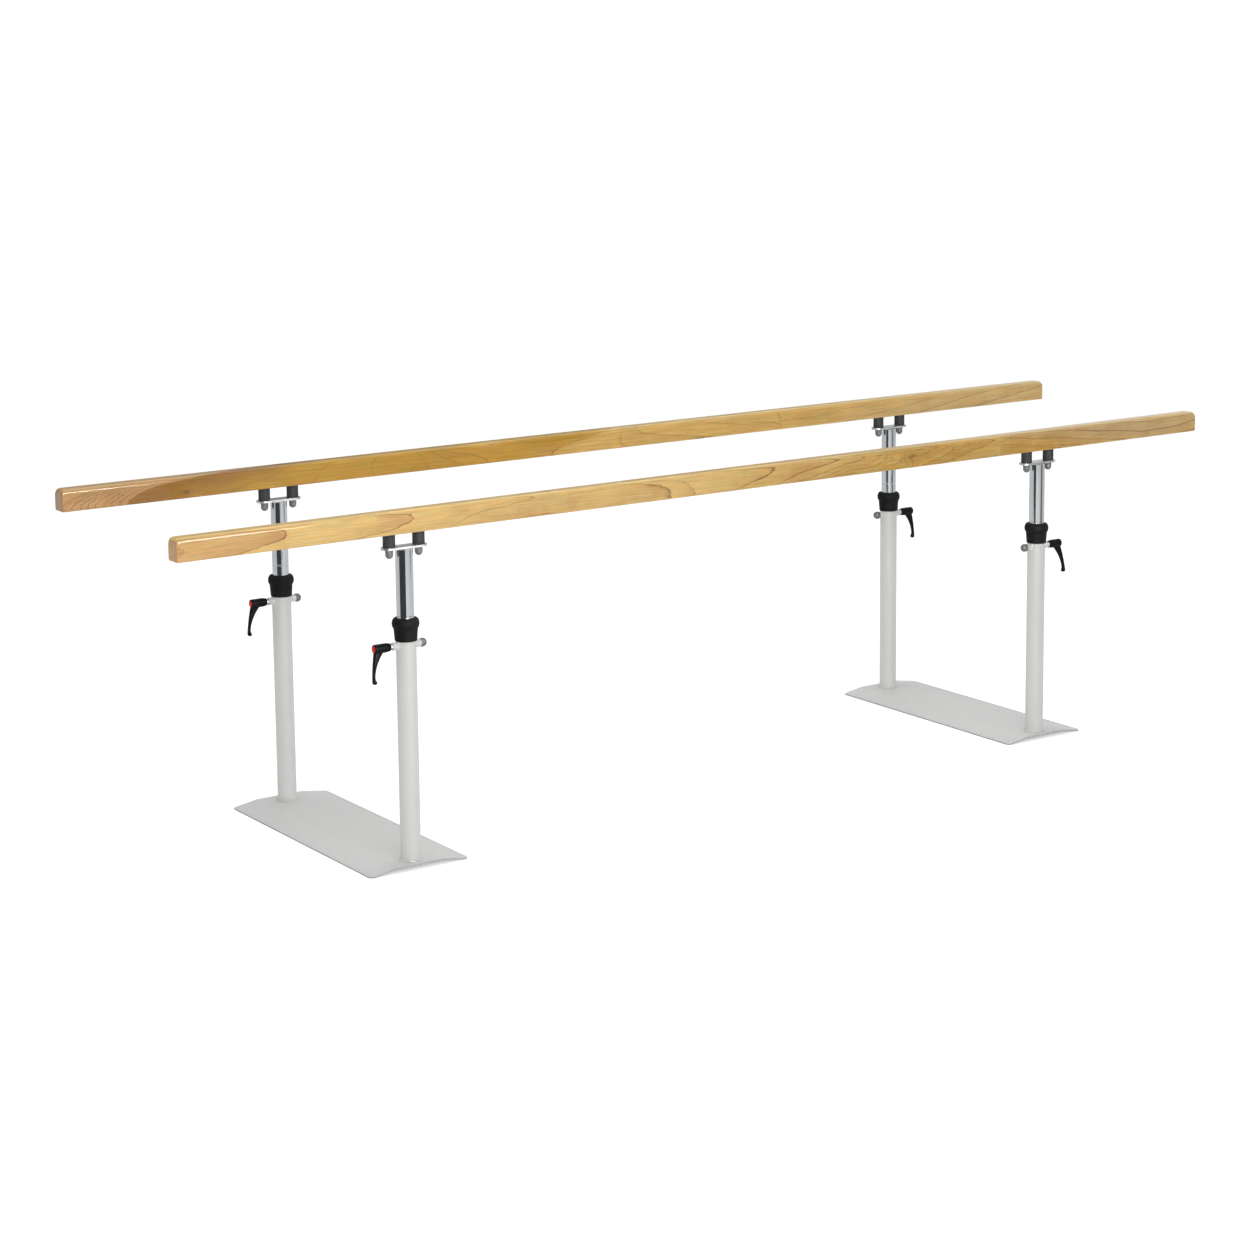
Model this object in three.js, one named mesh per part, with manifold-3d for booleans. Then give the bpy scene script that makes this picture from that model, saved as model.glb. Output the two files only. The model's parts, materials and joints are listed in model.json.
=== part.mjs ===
import * as THREE from "three";
import { mergeVertices } from "three/addons/utils/BufferGeometryUtils.js";
import Module from "manifold-3d";

// Walking parallel bars: two wooden handrails on four telescopic posts, which stand in pairs on
// two folded sheet bases. Millimetres. X runs along the rails, Y across them, Z up from the floor.

const wasm = await Module();
wasm.setup();

// Layout: the posts stand at the corners of a rectangle centred on the origin.
const postSpacing = 1888;
const railSpacing = 597;
const nearExtension = 157; // bright tube showing between collar and head plate
const rearExtension = 179;

// Clearances shared by all pieces.
const seatGap = 0.3; // between a piece and what it rests on
const runGap = 0.3; // round the sliding tube and the turning screw
const overrun = 1; // how far a cutter reaches past the face that it opens

// Handrail: a wooden bar with well rounded upper edges.
const railLength = 3000;
const railWidth = 42;
const railHeight = 52;
const railTopRadius = 10;
const railFootRadius = 3;
const railEndRound = 3;
const railEndTopRadius = 10; // the upper edge of each end, seen from the side

// Base: one folded sheet with a raised flat, two ramps and two toes that lie on the floor.
const baseLength = 680;
const baseWidth = 254;
const baseFlatWidth = 122;
const baseToeWidth = 8;
const baseRise = 9;
const baseSheet = 3;
const baseCornerRadius = 12;

// Telescopic tubes: the sliding tube runs in a plastic sleeve inside the outer tube.
const innerDiameter = 40;
const innerWall = 1.5;
const sleeveWall = 0.9;
const outerWall = 1.5;
const outerLength = 532.7;
const weldLeg = 4;
const sleeveLength = 135;
const sleeveFlange = 2;
const markDistance = 154; // ring turned into the sliding tube, below the head plate
const markWidth = 2;
const markDepth = 0.4;
const plugSkirt = 25;
const plugShank = 20;
const plugClearance = 14; // plug above the base with the rail right down

// Collar: a tapered skirt over the outer tube under a round rim that wipes the sliding tube.
const collarRise = 22; // rim above the outer tube's end
const rimHeight = 26;
const rimReach = 8; // rim beyond the outer tube
const collarTopWall = 4;
const collarFootWall = 1.4;
const collarGap = 1; // between the skirt and the clamp boss

// Clamp: a hand lever turns a screw against the sliding tube, a capped screw guides it opposite.
const clampDrop = 40; // clamp axis below the outer tube's end
const bossDiameter = 18;
const bossLength = 13;
const screwDiameter = 10;
const screwFlangeDiameter = 15;
const screwFlangeLength = 5;
const screwHeadDiameter = 12.5;
const screwHeadLength = 14;
const capDiameter = 20.2;
const capSkirt = 6;
const capDome = 9;

// Hand lever: a round hub whose elbow turns down into a tapering arm.
const leverReach = 78; // clamp axis to the arm's tip
const hubDiameter = 21;
const hubNeckDiameter = 17; // at the screw's end
const hubNeckLength = 10;
const hubLength = 41;
const elbowRound = 2.5;
const armRootWidth = 23;
const armWaistWidth = 6.5;
const armTipDiameter = 10.5;
const armThickness = 12;
const armEdgeRound = 2.5;
const armLean = 9.5; // tip beyond the hub's end
const armRootShare = 0.85; // of the hub's radius, where the inner curve starts below its axis
const armBendShare = 0.44; // of the reach, where the inner curve is tightest
const tipSweepShare = 0.9; // of a half turn round the tip
const nearLeverTurn = 8; // degrees that the near arms swing outwards, off the vertical
const rearLeverTurn = 0;
const buttonDiameter = 15;
const buttonDepth = 8;
const buttonDome = 1.8;
const buttonTravel = 3;

// Head: a plate across the sliding tube carries the rail on two rubber buffers.
const headLength = 114;
const headWidth = 34;
const headSheet = 5;
const bufferSpacing = 75;
const bufferDiameter = 28;
const bufferHeight = 30;
const bufferEdge = 0.8;
const studDiameter = 8;
const railStudLength = 20;
const plateStudLength = 18;
const nutDiameter = 18.5;
const nutHeight = 20.7;

// How finely round pieces are divided.
const tubeSegments = 28;
const partSegments = 18;
const smallSegments = 12;
const arcSteps = 3;

// Heights and radii that several pieces share.
const innerRadius = innerDiameter / 2;
const sleeveBore = innerRadius + runGap;
const sleeveRadius = sleeveBore + sleeveWall;
const outerBore = sleeveRadius + seatGap;
const outerRadius = outerBore + outerWall;
const baseTop = baseRise + baseSheet;
const outerFoot = baseTop + seatGap;
const outerTop = outerFoot + outerLength;
const clampHeight = outerTop - clampDrop;
const bossReach = outerRadius + bossLength;
const collarTop = outerTop + collarRise;
const collarFoot = clampHeight + bossDiameter / 2 + collarGap;
const studRadius = studDiameter / 2;
const screwRadius = screwDiameter / 2;
const nutDrop = seatGap + nutHeight;

// The sliding tube is as long as the post takes with the nuts down on the collar.
const innerLength = collarTop + nutDrop - baseTop - plugClearance - plugSkirt - seatGap;

const finish = (name, color, roughness, metalness) =>
  new THREE.MeshStandardMaterial({ name, color, roughness, metalness });
const wood = finish("varnished_wood", 0xd3a566, 0.38, 0);
const whiteCoat = finish("white_powder_coat", 0xe9e8e6, 0.45, 0);
const greyCoat = finish("grey_powder_coat", 0xd3d4d0, 0.5, 0);
const chrome = finish("chrome", 0xc9ccd0, 0.12, 1);
const steel = finish("dark_steel", 0x3b3c3e, 0.4, 1);
const rubber = finish("black_rubber", 0x1d1e20, 0.7, 0);
const blackPlastic = finish("black_plastic", 0x18181a, 0.5, 0);
const greyPlastic = finish("grey_plastic", 0x55575a, 0.5, 0);
const redPlastic = finish("red_plastic", 0xc6201c, 0.4, 0);
const guidePlastic = finish("guide_plastic", 0xdedbd2, 0.55, 0);

// A closed three.js geometry as a solid for cutting and joining.
function toSolid(geometry) {
  const bare = geometry.clone();
  bare.deleteAttribute("normal");
  bare.deleteAttribute("uv");
  const merged = mergeVertices(bare);
  const vertProperties = new Float32Array(merged.attributes.position.array);
  const triVerts = new Uint32Array(merged.index.array);
  return new wasm.Manifold(new wasm.Mesh({ numProp: 3, vertProperties, triVerts }));
}

function toGeometry(solid) {
  const { vertProperties, triVerts } = solid.getMesh();
  const geometry = new THREE.BufferGeometry();
  geometry.setAttribute("position", new THREE.BufferAttribute(vertProperties, 3));
  geometry.setIndex(new THREE.BufferAttribute(triVerts, 1));
  geometry.computeVertexNormals();
  return geometry;
}

function shaped(base, joined, cutters) {
  let solid = toSolid(base);
  for (const geometry of joined) {
    solid = solid.add(toSolid(geometry));
  }
  for (const geometry of cutters) {
    solid = solid.subtract(toSolid(geometry));
  }
  return toGeometry(solid);
}

// Turned pieces: a profile of [radius, height] pairs round the Z axis.
function turned(profile, segments) {
  const points = profile.map(([radius, height]) => new THREE.Vector2(radius, height));
  return new THREE.LatheGeometry(points, segments).rotateX(Math.PI / 2);
}

function turnedRing(profile, segments) {
  return turned([...profile, profile[0]], segments);
}

// The same, with the profile's heights measured along +X.
function turnedAlongX(profile, segments) {
  return turned(profile, segments).rotateY(Math.PI / 2);
}

function rod(radius, from, to, segments) {
  const profile = [
    [0, from],
    [radius, from],
    [radius, to],
    [0, to],
  ];
  return turned(profile, segments);
}

function rodAlongX(radius, from, to, segments) {
  return rod(radius, from, to, segments).rotateY(Math.PI / 2);
}

// Points of a quarter ellipse from [centre + reach, start] to [centre, start + rise].
function domed(centre, start, reach, rise) {
  const points = [];
  for (let step = 0; step <= arcSteps; step += 1) {
    const angle = ((Math.PI / 2) * step) / arcSteps;
    points.push([centre + reach * Math.cos(angle), start + rise * Math.sin(angle)]);
  }
  return points;
}

function roundedRectangle(width, height, footRadius, topRadius) {
  const [right, top] = [width / 2, height];
  const shape = new THREE.Shape();
  shape.moveTo(footRadius - right, 0);
  shape.lineTo(right - footRadius, 0);
  shape.absarc(right - footRadius, footRadius, footRadius, -Math.PI / 2, 0);
  shape.absarc(right - topRadius, top - topRadius, topRadius, 0, Math.PI / 2);
  shape.absarc(topRadius - right, top - topRadius, topRadius, Math.PI / 2, Math.PI);
  shape.absarc(footRadius - right, footRadius, footRadius, Math.PI, Math.PI * 1.5);
  return shape;
}

const postSides = [-1, 1];

// The rail lies on z = 0 here, with blind holes for the buffers' studs in its underside.
function handrailGeometry() {
  const inset = railEndRound;
  const section = roundedRectangle(
    railWidth - inset * 2, railHeight - inset * 2, railFootRadius, railTopRadius - inset);
  const bar = new THREE.ExtrudeGeometry(section, {
    depth: railLength - inset * 2,
    curveSegments: arcSteps,
    bevelThickness: inset,
    bevelSize: inset,
    bevelSegments: 2,
  });
  bar.translate(0, inset, inset - railLength / 2);
  bar.rotateX(Math.PI / 2);
  bar.rotateZ(Math.PI / 2);
  const side = roundedRectangle(railLength, railHeight, railFootRadius, railEndTopRadius);
  const outline = new THREE.ExtrudeGeometry(side, {
    depth: railWidth + overrun * 2,
    bevelEnabled: false,
    curveSegments: arcSteps * 2,
  });
  outline.translate(0, 0, -railWidth / 2 - overrun);
  outline.rotateX(Math.PI / 2);
  const holes = [];
  for (const post of postSides) {
    for (const buffer of postSides) {
      const hole = rod(studRadius + seatGap, -overrun, railStudLength + seatGap, smallSegments);
      hole.translate((post * postSpacing + buffer * bufferSpacing) / 2, 0, 0);
      holes.push(hole);
    }
  }
  return shaped(toGeometry(toSolid(bar).intersect(toSolid(outline))), [], holes);
}

function basePlateGeometry() {
  const [edge, toe, fold] = [baseWidth / 2, baseWidth / 2 - baseToeWidth, baseFlatWidth / 2];
  const underside = [[-edge, 0], [-toe, 0], [-fold, baseRise], [fold, baseRise], [toe, 0], [edge, 0]];
  const upper = underside.map(([x, z]) => [x, z + baseSheet]).reverse();
  const section = new THREE.Shape([...underside, ...upper].map(([x, z]) => new THREE.Vector2(x, z)));
  const sheet = new THREE.ExtrudeGeometry(section, { depth: baseLength, bevelEnabled: false });
  sheet.translate(0, 0, -baseLength / 2);
  sheet.rotateX(Math.PI / 2);
  const plan = roundedRectangle(baseWidth, baseLength, baseCornerRadius, baseCornerRadius);
  const outline = new THREE.ExtrudeGeometry(plan, {
    depth: baseTop + overrun * 2,
    bevelEnabled: false,
    curveSegments: arcSteps,
  });
  outline.translate(0, -baseLength / 2, -overrun);
  return toGeometry(toSolid(sheet).intersect(toSolid(outline)));
}

// White tube with its weld bead at the foot and a boss on either side near the top.
function outerTubeGeometry() {
  const tube = rod(outerRadius, outerFoot, outerTop, tubeSegments);
  const beadProfile = [
    [0, outerFoot],
    [outerRadius + weldLeg, outerFoot],
    [outerRadius, outerFoot + weldLeg],
    [0, outerFoot + weldLeg],
  ];
  const bead = turned(beadProfile, tubeSegments);
  const bosses = rodAlongX(bossDiameter / 2, -bossReach, bossReach, partSegments);
  bosses.translate(0, 0, clampHeight);
  const bore = rod(outerBore, outerFoot - overrun, outerTop + overrun, tubeSegments);
  const holeReach = bossReach + overrun;
  const screwHole = rodAlongX(screwRadius + runGap, -holeReach, holeReach, smallSegments);
  screwHole.translate(0, 0, clampHeight);
  return shaped(tube, [bead, bosses], [bore, screwHole]);
}

// Liner between the two tubes, with a flange on the outer tube's end.
function guideSleeveGeometry() {
  const sleeveFoot = outerTop - sleeveLength;
  const flangeFoot = outerTop + seatGap;
  const flangeTop = flangeFoot + sleeveFlange;
  const sleeve = turnedRing([
    [sleeveBore, sleeveFoot],
    [sleeveRadius, sleeveFoot],
    [sleeveRadius, flangeFoot],
    [outerRadius, flangeFoot],
    [outerRadius, flangeTop],
    [sleeveBore, flangeTop],
  ], tubeSegments);
  const holeReach = outerRadius + overrun;
  const screwHole = rodAlongX(screwRadius + runGap, -holeReach, holeReach, smallSegments);
  screwHole.translate(0, 0, clampHeight);
  return shaped(sleeve, [], [screwHole]);
}

function topCollarGeometry() {
  const fit = outerRadius + seatGap;
  const lip = innerRadius + runGap;
  const ledge = outerTop + seatGap * 2 + sleeveFlange;
  const rimMiddle = collarTop - rimHeight / 2;
  const rimCentre = outerRadius;
  const rimTop = domed(rimCentre, rimMiddle, rimReach, rimHeight / 2);
  const rimFoot = domed(rimCentre, rimMiddle, rimReach, -rimHeight / 2).reverse();
  const waist = fit + collarTopWall;
  const underRim = rimFoot.filter(([radius]) => radius > waist);
  return turnedRing([
    [fit, collarFoot],
    [fit + collarFootWall, collarFoot],
    [waist, collarTop - rimHeight],
    ...underRim,
    ...rimTop.slice(1),
    [lip, collarTop - runGap],
    [lip, ledge],
    [fit, ledge],
  ], tubeSegments);
}

// The screw, lever and button are built round the screw's own axis, which lies on +X.
// Screw with a pad at its nose, a flange under the hub and a toothed head inside it.
function clampScrewGeometry() {
  const nose = innerRadius + runGap;
  const flangeStart = bossReach + runGap;
  const headStart = flangeStart + screwFlangeLength;
  const headEnd = headStart + screwHeadLength;
  return turnedAlongX([
    [0, nose],
    [screwRadius, nose],
    [screwRadius, flangeStart],
    [screwFlangeDiameter / 2, flangeStart],
    [screwFlangeDiameter / 2, headStart],
    [screwHeadDiameter / 2, headStart],
    [screwHeadDiameter / 2, headEnd],
    [0, headEnd],
  ], smallSegments);
}

const hubStart = bossReach + runGap + screwFlangeLength + seatGap;
const hubEnd = hubStart + hubLength;
const buttonBoreEnd = hubEnd - buttonDepth - seatGap;

function leverArmShape() {
  const hubRadius = hubDiameter / 2;
  const root = hubEnd - armRootWidth;
  const tipRadius = armTipDiameter / 2;
  const tipX = hubEnd + armLean - tipRadius;
  const tipZ = tipRadius - leverReach;
  const waistZ = tipZ + armTipDiameter;
  const waistX = tipX + tipRadius - armWaistWidth;
  const shape = new THREE.Shape();
  shape.moveTo(root, 0);
  shape.lineTo(hubEnd - elbowRound, 0);
  shape.quadraticCurveTo(hubEnd + elbowRound, -hubRadius, tipX + tipRadius, tipZ);
  shape.absarc(tipX, tipZ, tipRadius, 0, -Math.PI * tipSweepShare, true);
  shape.quadraticCurveTo(waistX, tipZ + tipRadius, waistX, waistZ);
  shape.quadraticCurveTo(hubEnd, -leverReach * armBendShare, root, -hubRadius * armRootShare);
  return shape;
}

function clampLeverGeometry() {
  const hubRadius = hubDiameter / 2;
  const hub = turnedAlongX([
    [0, hubStart],
    [hubNeckDiameter / 2, hubStart],
    [hubRadius, hubStart + hubNeckLength],
    ...domed(hubRadius - elbowRound, hubEnd - elbowRound, elbowRound, elbowRound),
    [0, hubEnd],
  ], partSegments);
  const arm = new THREE.ExtrudeGeometry(leverArmShape(), {
    depth: armThickness - armEdgeRound * 2,
    curveSegments: arcSteps,
    bevelThickness: armEdgeRound,
    bevelSize: armEdgeRound / 2,
    bevelOffset: -armEdgeRound / 2,
    bevelSegments: 1,
  });
  arm.translate(0, 0, armEdgeRound - armThickness / 2);
  arm.rotateX(Math.PI / 2);
  const headRadius = screwHeadDiameter / 2 + seatGap;
  const headEnd = hubStart + screwHeadLength;
  const headHole = rodAlongX(headRadius, hubStart - overrun, headEnd, smallSegments);
  const buttonRadius = buttonDiameter / 2 + seatGap;
  const boreFoot = buttonBoreEnd - buttonTravel;
  const buttonHole = rodAlongX(buttonRadius, boreFoot, hubEnd + armLean + overrun, partSegments);
  return shaped(hub, [arm], [headHole, buttonHole]);
}

function leverButtonGeometry() {
  const radius = buttonDiameter / 2;
  const start = hubEnd - buttonDepth;
  return turnedAlongX([
    [0, start],
    [radius, start],
    ...domed(0, hubEnd, radius, buttonDome),
  ], partSegments);
}

// Domed cap on the guide screw, on the side that faces the other pair of posts.
function clampCapGeometry() {
  const nose = innerRadius + runGap;
  const skirtStart = bossReach + seatGap;
  const cap = turnedAlongX([
    [0, nose],
    [screwRadius, nose],
    [screwRadius, skirtStart],
    [capDiameter / 2, skirtStart],
    ...domed(0, skirtStart + capSkirt, capDiameter / 2, capDome),
  ], partSegments);
  return cap.rotateZ(Math.PI).translate(0, 0, clampHeight);
}

// The sliding pieces are placed from the head plate's underside.
function innerTubeGeometry() {
  const bore = innerRadius - innerWall;
  const top = -seatGap;
  const foot = top - innerLength;
  const mark = -markDistance;
  return turnedRing([
    [bore, foot],
    [innerRadius, foot],
    [innerRadius, mark - markWidth / 2],
    [innerRadius - markDepth, mark],
    [innerRadius, mark + markWidth / 2],
    [innerRadius, top],
    [bore, top],
  ], tubeSegments);
}

// Plastic foot of the sliding tube: it runs in the outer tube below the sleeve.
function sliderPlugGeometry() {
  const skirtTop = -seatGap * 2 - innerLength;
  const skirtFoot = skirtTop - plugSkirt;
  const shankRadius = innerRadius - innerWall - seatGap;
  return turned([
    [0, skirtFoot],
    [sleeveRadius, skirtFoot],
    [sleeveRadius, skirtTop],
    [shankRadius, skirtTop],
    [shankRadius, skirtTop + plugShank],
    [0, skirtTop + plugShank],
  ], tubeSegments);
}

function headPlateGeometry() {
  const endRadius = headWidth / 2;
  const endCentre = headLength / 2 - endRadius;
  const shape = new THREE.Shape();
  shape.moveTo(-endCentre, -endRadius);
  shape.lineTo(endCentre, -endRadius);
  shape.absarc(endCentre, 0, endRadius, -Math.PI / 2, Math.PI / 2);
  shape.absarc(-endCentre, 0, endRadius, Math.PI / 2, Math.PI * 1.5);
  for (const side of postSides) {
    const hole = new THREE.Path();
    hole.absarc((side * bufferSpacing) / 2, 0, studRadius + seatGap, 0, Math.PI * 2);
    shape.holes.push(hole);
  }
  const curveSegments = arcSteps * 2;
  return new THREE.ExtrudeGeometry(shape, { depth: headSheet, bevelEnabled: false, curveSegments });
}

// Rubber cylinder with a stud bonded into each end, centred on its own axis.
function bufferGeometry() {
  const radius = bufferDiameter / 2;
  const foot = headSheet + seatGap;
  const top = headSheet + bufferHeight - seatGap;
  return turned([
    [0, headSheet - plateStudLength],
    [studRadius, headSheet - plateStudLength],
    [studRadius, foot],
    [radius - bufferEdge, foot],
    [radius, foot + bufferEdge],
    [radius, top - bufferEdge],
    [radius - bufferEdge, top],
    [studRadius, top],
    [studRadius, top + railStudLength],
    [0, top + railStudLength],
  ], partSegments);
}

// Nut with a domed cap, on the buffer's stud under the plate.
function capNutGeometry() {
  const radius = nutDiameter / 2;
  const thread = studRadius + seatGap;
  const dome = domed(0, -nutHeight + radius, radius, -radius).reverse();
  return turned([
    ...dome,
    [radius, 0],
    [thread, 0],
    [thread, headSheet - plateStudLength],
    [0, headSheet - plateStudLength],
  ], smallSegments).translate(0, 0, -seatGap);
}

const bars = new THREE.Group();

function add(parent, name, geometry, material, x, y, z) {
  const mesh = new THREE.Mesh(geometry, material);
  mesh.name = name;
  mesh.position.set(x, y, z);
  parent.add(mesh);
}

const handrail = handrailGeometry();
const basePlate = basePlateGeometry();

const fixedPieces = [
  ["outer_tube", outerTubeGeometry(), whiteCoat],
  ["guide_sleeve", guideSleeveGeometry(), guidePlastic],
  ["top_collar", topCollarGeometry(), rubber],
  ["clamp_cap", clampCapGeometry(), greyPlastic],
];
const clampPieces = [
  ["clamp_screw", clampScrewGeometry(), steel],
  ["clamp_lever", clampLeverGeometry(), blackPlastic],
  ["lever_button", leverButtonGeometry(), redPlastic],
];
const slidingPieces = [
  ["inner_tube", innerTubeGeometry(), chrome],
  ["slider_plug", sliderPlugGeometry(), guidePlastic],
  ["head_plate", headPlateGeometry(), chrome],
];
const buffer = bufferGeometry();
const capNut = capNutGeometry();

const rows = [
  { name: "near", side: -1, extension: nearExtension, leverTurn: nearLeverTurn },
  { name: "rear", side: 1, extension: rearExtension, leverTurn: rearLeverTurn },
];
const ends = [
  { name: "left", side: -1 },
  { name: "right", side: 1 },
];

for (const end of ends) {
  const postX = (end.side * postSpacing) / 2;
  add(bars, `${end.name}_base_plate`, basePlate, greyCoat, postX, 0, 0);
}

for (const row of rows) {
  const postY = (row.side * railSpacing) / 2;
  const headUnderside = collarTop + row.extension;
  const railFoot = headUnderside + headSheet + bufferHeight;
  add(bars, `${row.name}_handrail`, handrail, wood, 0, postY, railFoot);
  for (const end of ends) {
    // Each post is turned so that its own +X points outboard, where the lever is.
    const post = new THREE.Group();
    post.position.set((end.side * postSpacing) / 2, postY, 0);
    post.rotation.z = end.side > 0 ? 0 : Math.PI;
    bars.add(post);
    const clamp = new THREE.Group();
    clamp.position.set(0, 0, clampHeight);
    clamp.rotation.x = THREE.MathUtils.degToRad(row.side * end.side * row.leverTurn);
    post.add(clamp);
    const prefix = `${row.name}_${end.name}`;
    for (const [name, geometry, material] of fixedPieces) {
      add(post, `${prefix}_${name}`, geometry, material, 0, 0, 0);
    }
    for (const [name, geometry, material] of clampPieces) {
      add(clamp, `${prefix}_${name}`, geometry, material, 0, 0, 0);
    }
    for (const [name, geometry, material] of slidingPieces) {
      add(post, `${prefix}_${name}`, geometry, material, 0, 0, headUnderside);
    }
    for (const [name, side] of [["outboard", 1], ["inboard", -1]]) {
      const x = (side * bufferSpacing) / 2;
      add(post, `${prefix}_${name}_buffer`, buffer, rubber, x, 0, headUnderside);
      add(post, `${prefix}_${name}_cap_nut`, capNut, greyPlastic, x, 0, headUnderside);
    }
  }
}

export default bars;
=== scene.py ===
import json
import math

import bmesh
import bpy
from mathutils import Matrix, Vector, noise

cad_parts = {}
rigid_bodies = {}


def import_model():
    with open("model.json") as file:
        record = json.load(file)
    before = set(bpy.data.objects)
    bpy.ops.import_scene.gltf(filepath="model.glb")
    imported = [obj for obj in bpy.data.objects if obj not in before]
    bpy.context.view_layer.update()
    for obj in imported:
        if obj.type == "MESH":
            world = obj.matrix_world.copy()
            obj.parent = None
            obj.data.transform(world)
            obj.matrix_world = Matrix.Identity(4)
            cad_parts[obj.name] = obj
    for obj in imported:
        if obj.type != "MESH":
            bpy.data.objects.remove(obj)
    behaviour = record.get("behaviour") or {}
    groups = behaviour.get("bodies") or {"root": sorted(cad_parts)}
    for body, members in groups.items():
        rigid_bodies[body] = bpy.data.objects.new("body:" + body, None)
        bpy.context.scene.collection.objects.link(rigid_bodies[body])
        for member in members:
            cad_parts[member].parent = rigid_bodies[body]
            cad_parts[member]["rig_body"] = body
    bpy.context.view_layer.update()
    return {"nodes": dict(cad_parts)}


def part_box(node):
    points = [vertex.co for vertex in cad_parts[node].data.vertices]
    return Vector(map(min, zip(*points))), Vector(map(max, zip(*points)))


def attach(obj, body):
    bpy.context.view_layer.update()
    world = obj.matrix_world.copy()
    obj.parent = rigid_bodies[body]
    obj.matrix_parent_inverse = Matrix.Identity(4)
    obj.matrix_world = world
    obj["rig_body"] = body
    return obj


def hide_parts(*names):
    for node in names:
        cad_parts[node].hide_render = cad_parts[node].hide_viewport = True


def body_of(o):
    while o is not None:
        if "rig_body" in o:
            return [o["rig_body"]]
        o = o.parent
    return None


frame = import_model()
print("frame loaded:", len(frame["nodes"]), "nodes")

# Shapes are drawn in millimetres round the post or the clamp that carries them.
# A post's own +X points outboard, so the left posts are turned half round.
toMetres = Matrix.Scale(0.001, 4)


def footOf(box):
    # the middle of a box's underside
    low, high = box
    return (low[0] + high[0]) / 2, (low[1] + high[1]) / 2, low[2]


postPlaces = {}
for row in ("near", "rear"):
    for end in ("left", "right"):
        x, y, _ = footOf(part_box(f"{row}_{end}_outer_tube"))
        turn = Matrix.Rotation(0 if x > 0 else math.pi, 4, "Z")
        postPlaces[f"{row}_{end}"] = Matrix.Translation((x, y, 0)) @ turn @ toMetres


# Mesh helpers
def arcPoints(centre, radius, start, stop, steps):
    points = []
    for step in range(steps + 1):
        angle = math.radians(start + (stop - start) * step / steps)
        points.append((centre[0] + radius * math.cos(angle), centre[1] + radius * math.sin(angle)))
    return points


def softened(points, radii, steps):
    # an open outline with its corners rounded, one radius for each point
    outline = []
    for index, (point, radius) in enumerate(zip(points, radii)):
        if radius <= 0 or index in (0, len(points) - 1):
            outline.append(point)
            continue
        corner = Vector(point)
        back = Vector(points[index - 1]) - corner
        ahead = Vector(points[index + 1]) - corner
        reach = radius / math.tan(back.angle(ahead) / 2)
        reach = min(reach, back.length * 0.49, ahead.length * 0.49)
        start, stop = corner + back.normalized() * reach, corner + ahead.normalized() * reach
        for step in range(steps + 1):
            t = step / steps
            curve = start * (1 - t) ** 2 + corner * 2 * t * (1 - t) + stop * t ** 2
            outline.append((curve.x, curve.y))
    return outline


def turned(profile, segments, ripple=None):
    # (radius, height) pairs round the Z axis; ripple gives an added radius for an index and an angle
    shape = bmesh.new()
    rings = []
    for index, (radius, height) in enumerate(profile):
        if radius < 1e-4:
            rings.append([shape.verts.new((0, 0, height))])
            continue
        ring = []
        for step in range(segments):
            angle = math.tau * step / segments
            reach = radius + (ripple(index, angle) if ripple else 0)
            ring.append(shape.verts.new((reach * math.cos(angle), reach * math.sin(angle), height)))
        rings.append(ring)
    joins = list(zip(rings, rings[1:]))
    if len(rings[0]) > 1 and len(rings[-1]) > 1:
        joins.append((rings[-1], rings[0]))
    for lower, upper in joins:
        for step in range(segments):
            ahead = (step + 1) % segments
            corners = [lower[step % len(lower)], lower[ahead % len(lower)],
                       upper[ahead % len(upper)], upper[step % len(upper)]]
            shape.faces.new(list(dict.fromkeys(corners)))
    return finished(shape)


def lofted(rings, capped=True):
    shape = bmesh.new()
    loops = [[shape.verts.new(point) for point in ring] for ring in rings]
    for lower, upper in zip(loops, loops[1:]):
        for step in range(len(lower)):
            ahead = (step + 1) % len(lower)
            shape.faces.new((lower[step], lower[ahead], upper[ahead], upper[step]))
    if capped:
        shape.faces.new(list(reversed(loops[0])))
        shape.faces.new(loops[-1])
    return finished(shape)


def finished(shape):
    bmesh.ops.recalc_face_normals(shape, faces=shape.faces)
    mesh = bpy.data.meshes.new("form")
    shape.to_mesh(mesh)
    shape.free()
    return mesh


def joined(*forms):
    # several shells in one mesh
    shape = bmesh.new()
    for form in forms:
        shape.from_mesh(form)
    mesh = bpy.data.meshes.new("form")
    shape.to_mesh(mesh)
    shape.free()
    return mesh


def sheetOf(corners):
    shape = bmesh.new()
    shape.faces.new([shape.verts.new(corner) for corner in corners])
    return finished(shape)


def rod(radius, low, high, segments):
    return turned([(0, low), (radius, low), (radius, high), (0, high)], segments)


def quarterTurn(steps, first=1):
    # angles up to a right angle
    return [math.pi / 2 * step / steps for step in range(first, steps + 1)]


def moved(form, matrix):
    copy = form.copy()
    copy.transform(matrix)
    return copy


def shift(x, z):
    return Matrix.Translation((x, 0, z))


def linked(name, data):
    thing = bpy.data.objects.new(name, data)
    bpy.context.scene.collection.objects.link(thing)
    return thing


def worked(form, *steps):
    # the mesh after a row of modifiers; a cutter is given as a mesh
    helpers = []

    def carrier(mesh):
        helpers.append(linked("helper", mesh))
        return helpers[-1]

    body = carrier(form)
    for kind, values in steps:
        modifier = body.modifiers.new("step", kind)
        for key, value in values.items():
            setattr(modifier, key, carrier(value) if key == "object" else value)
    bpy.context.view_layer.update()
    graph = bpy.context.evaluated_depsgraph_get()
    mesh = bpy.data.meshes.new_from_object(body.evaluated_get(graph))
    for thing in helpers:
        bpy.data.objects.remove(thing)
    return mesh


def combined(operation, form):
    # a step for worked(): UNION, DIFFERENCE or INTERSECT with another form
    return "BOOLEAN", {"operation": operation, "object": form, "solver": "EXACT"}


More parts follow.
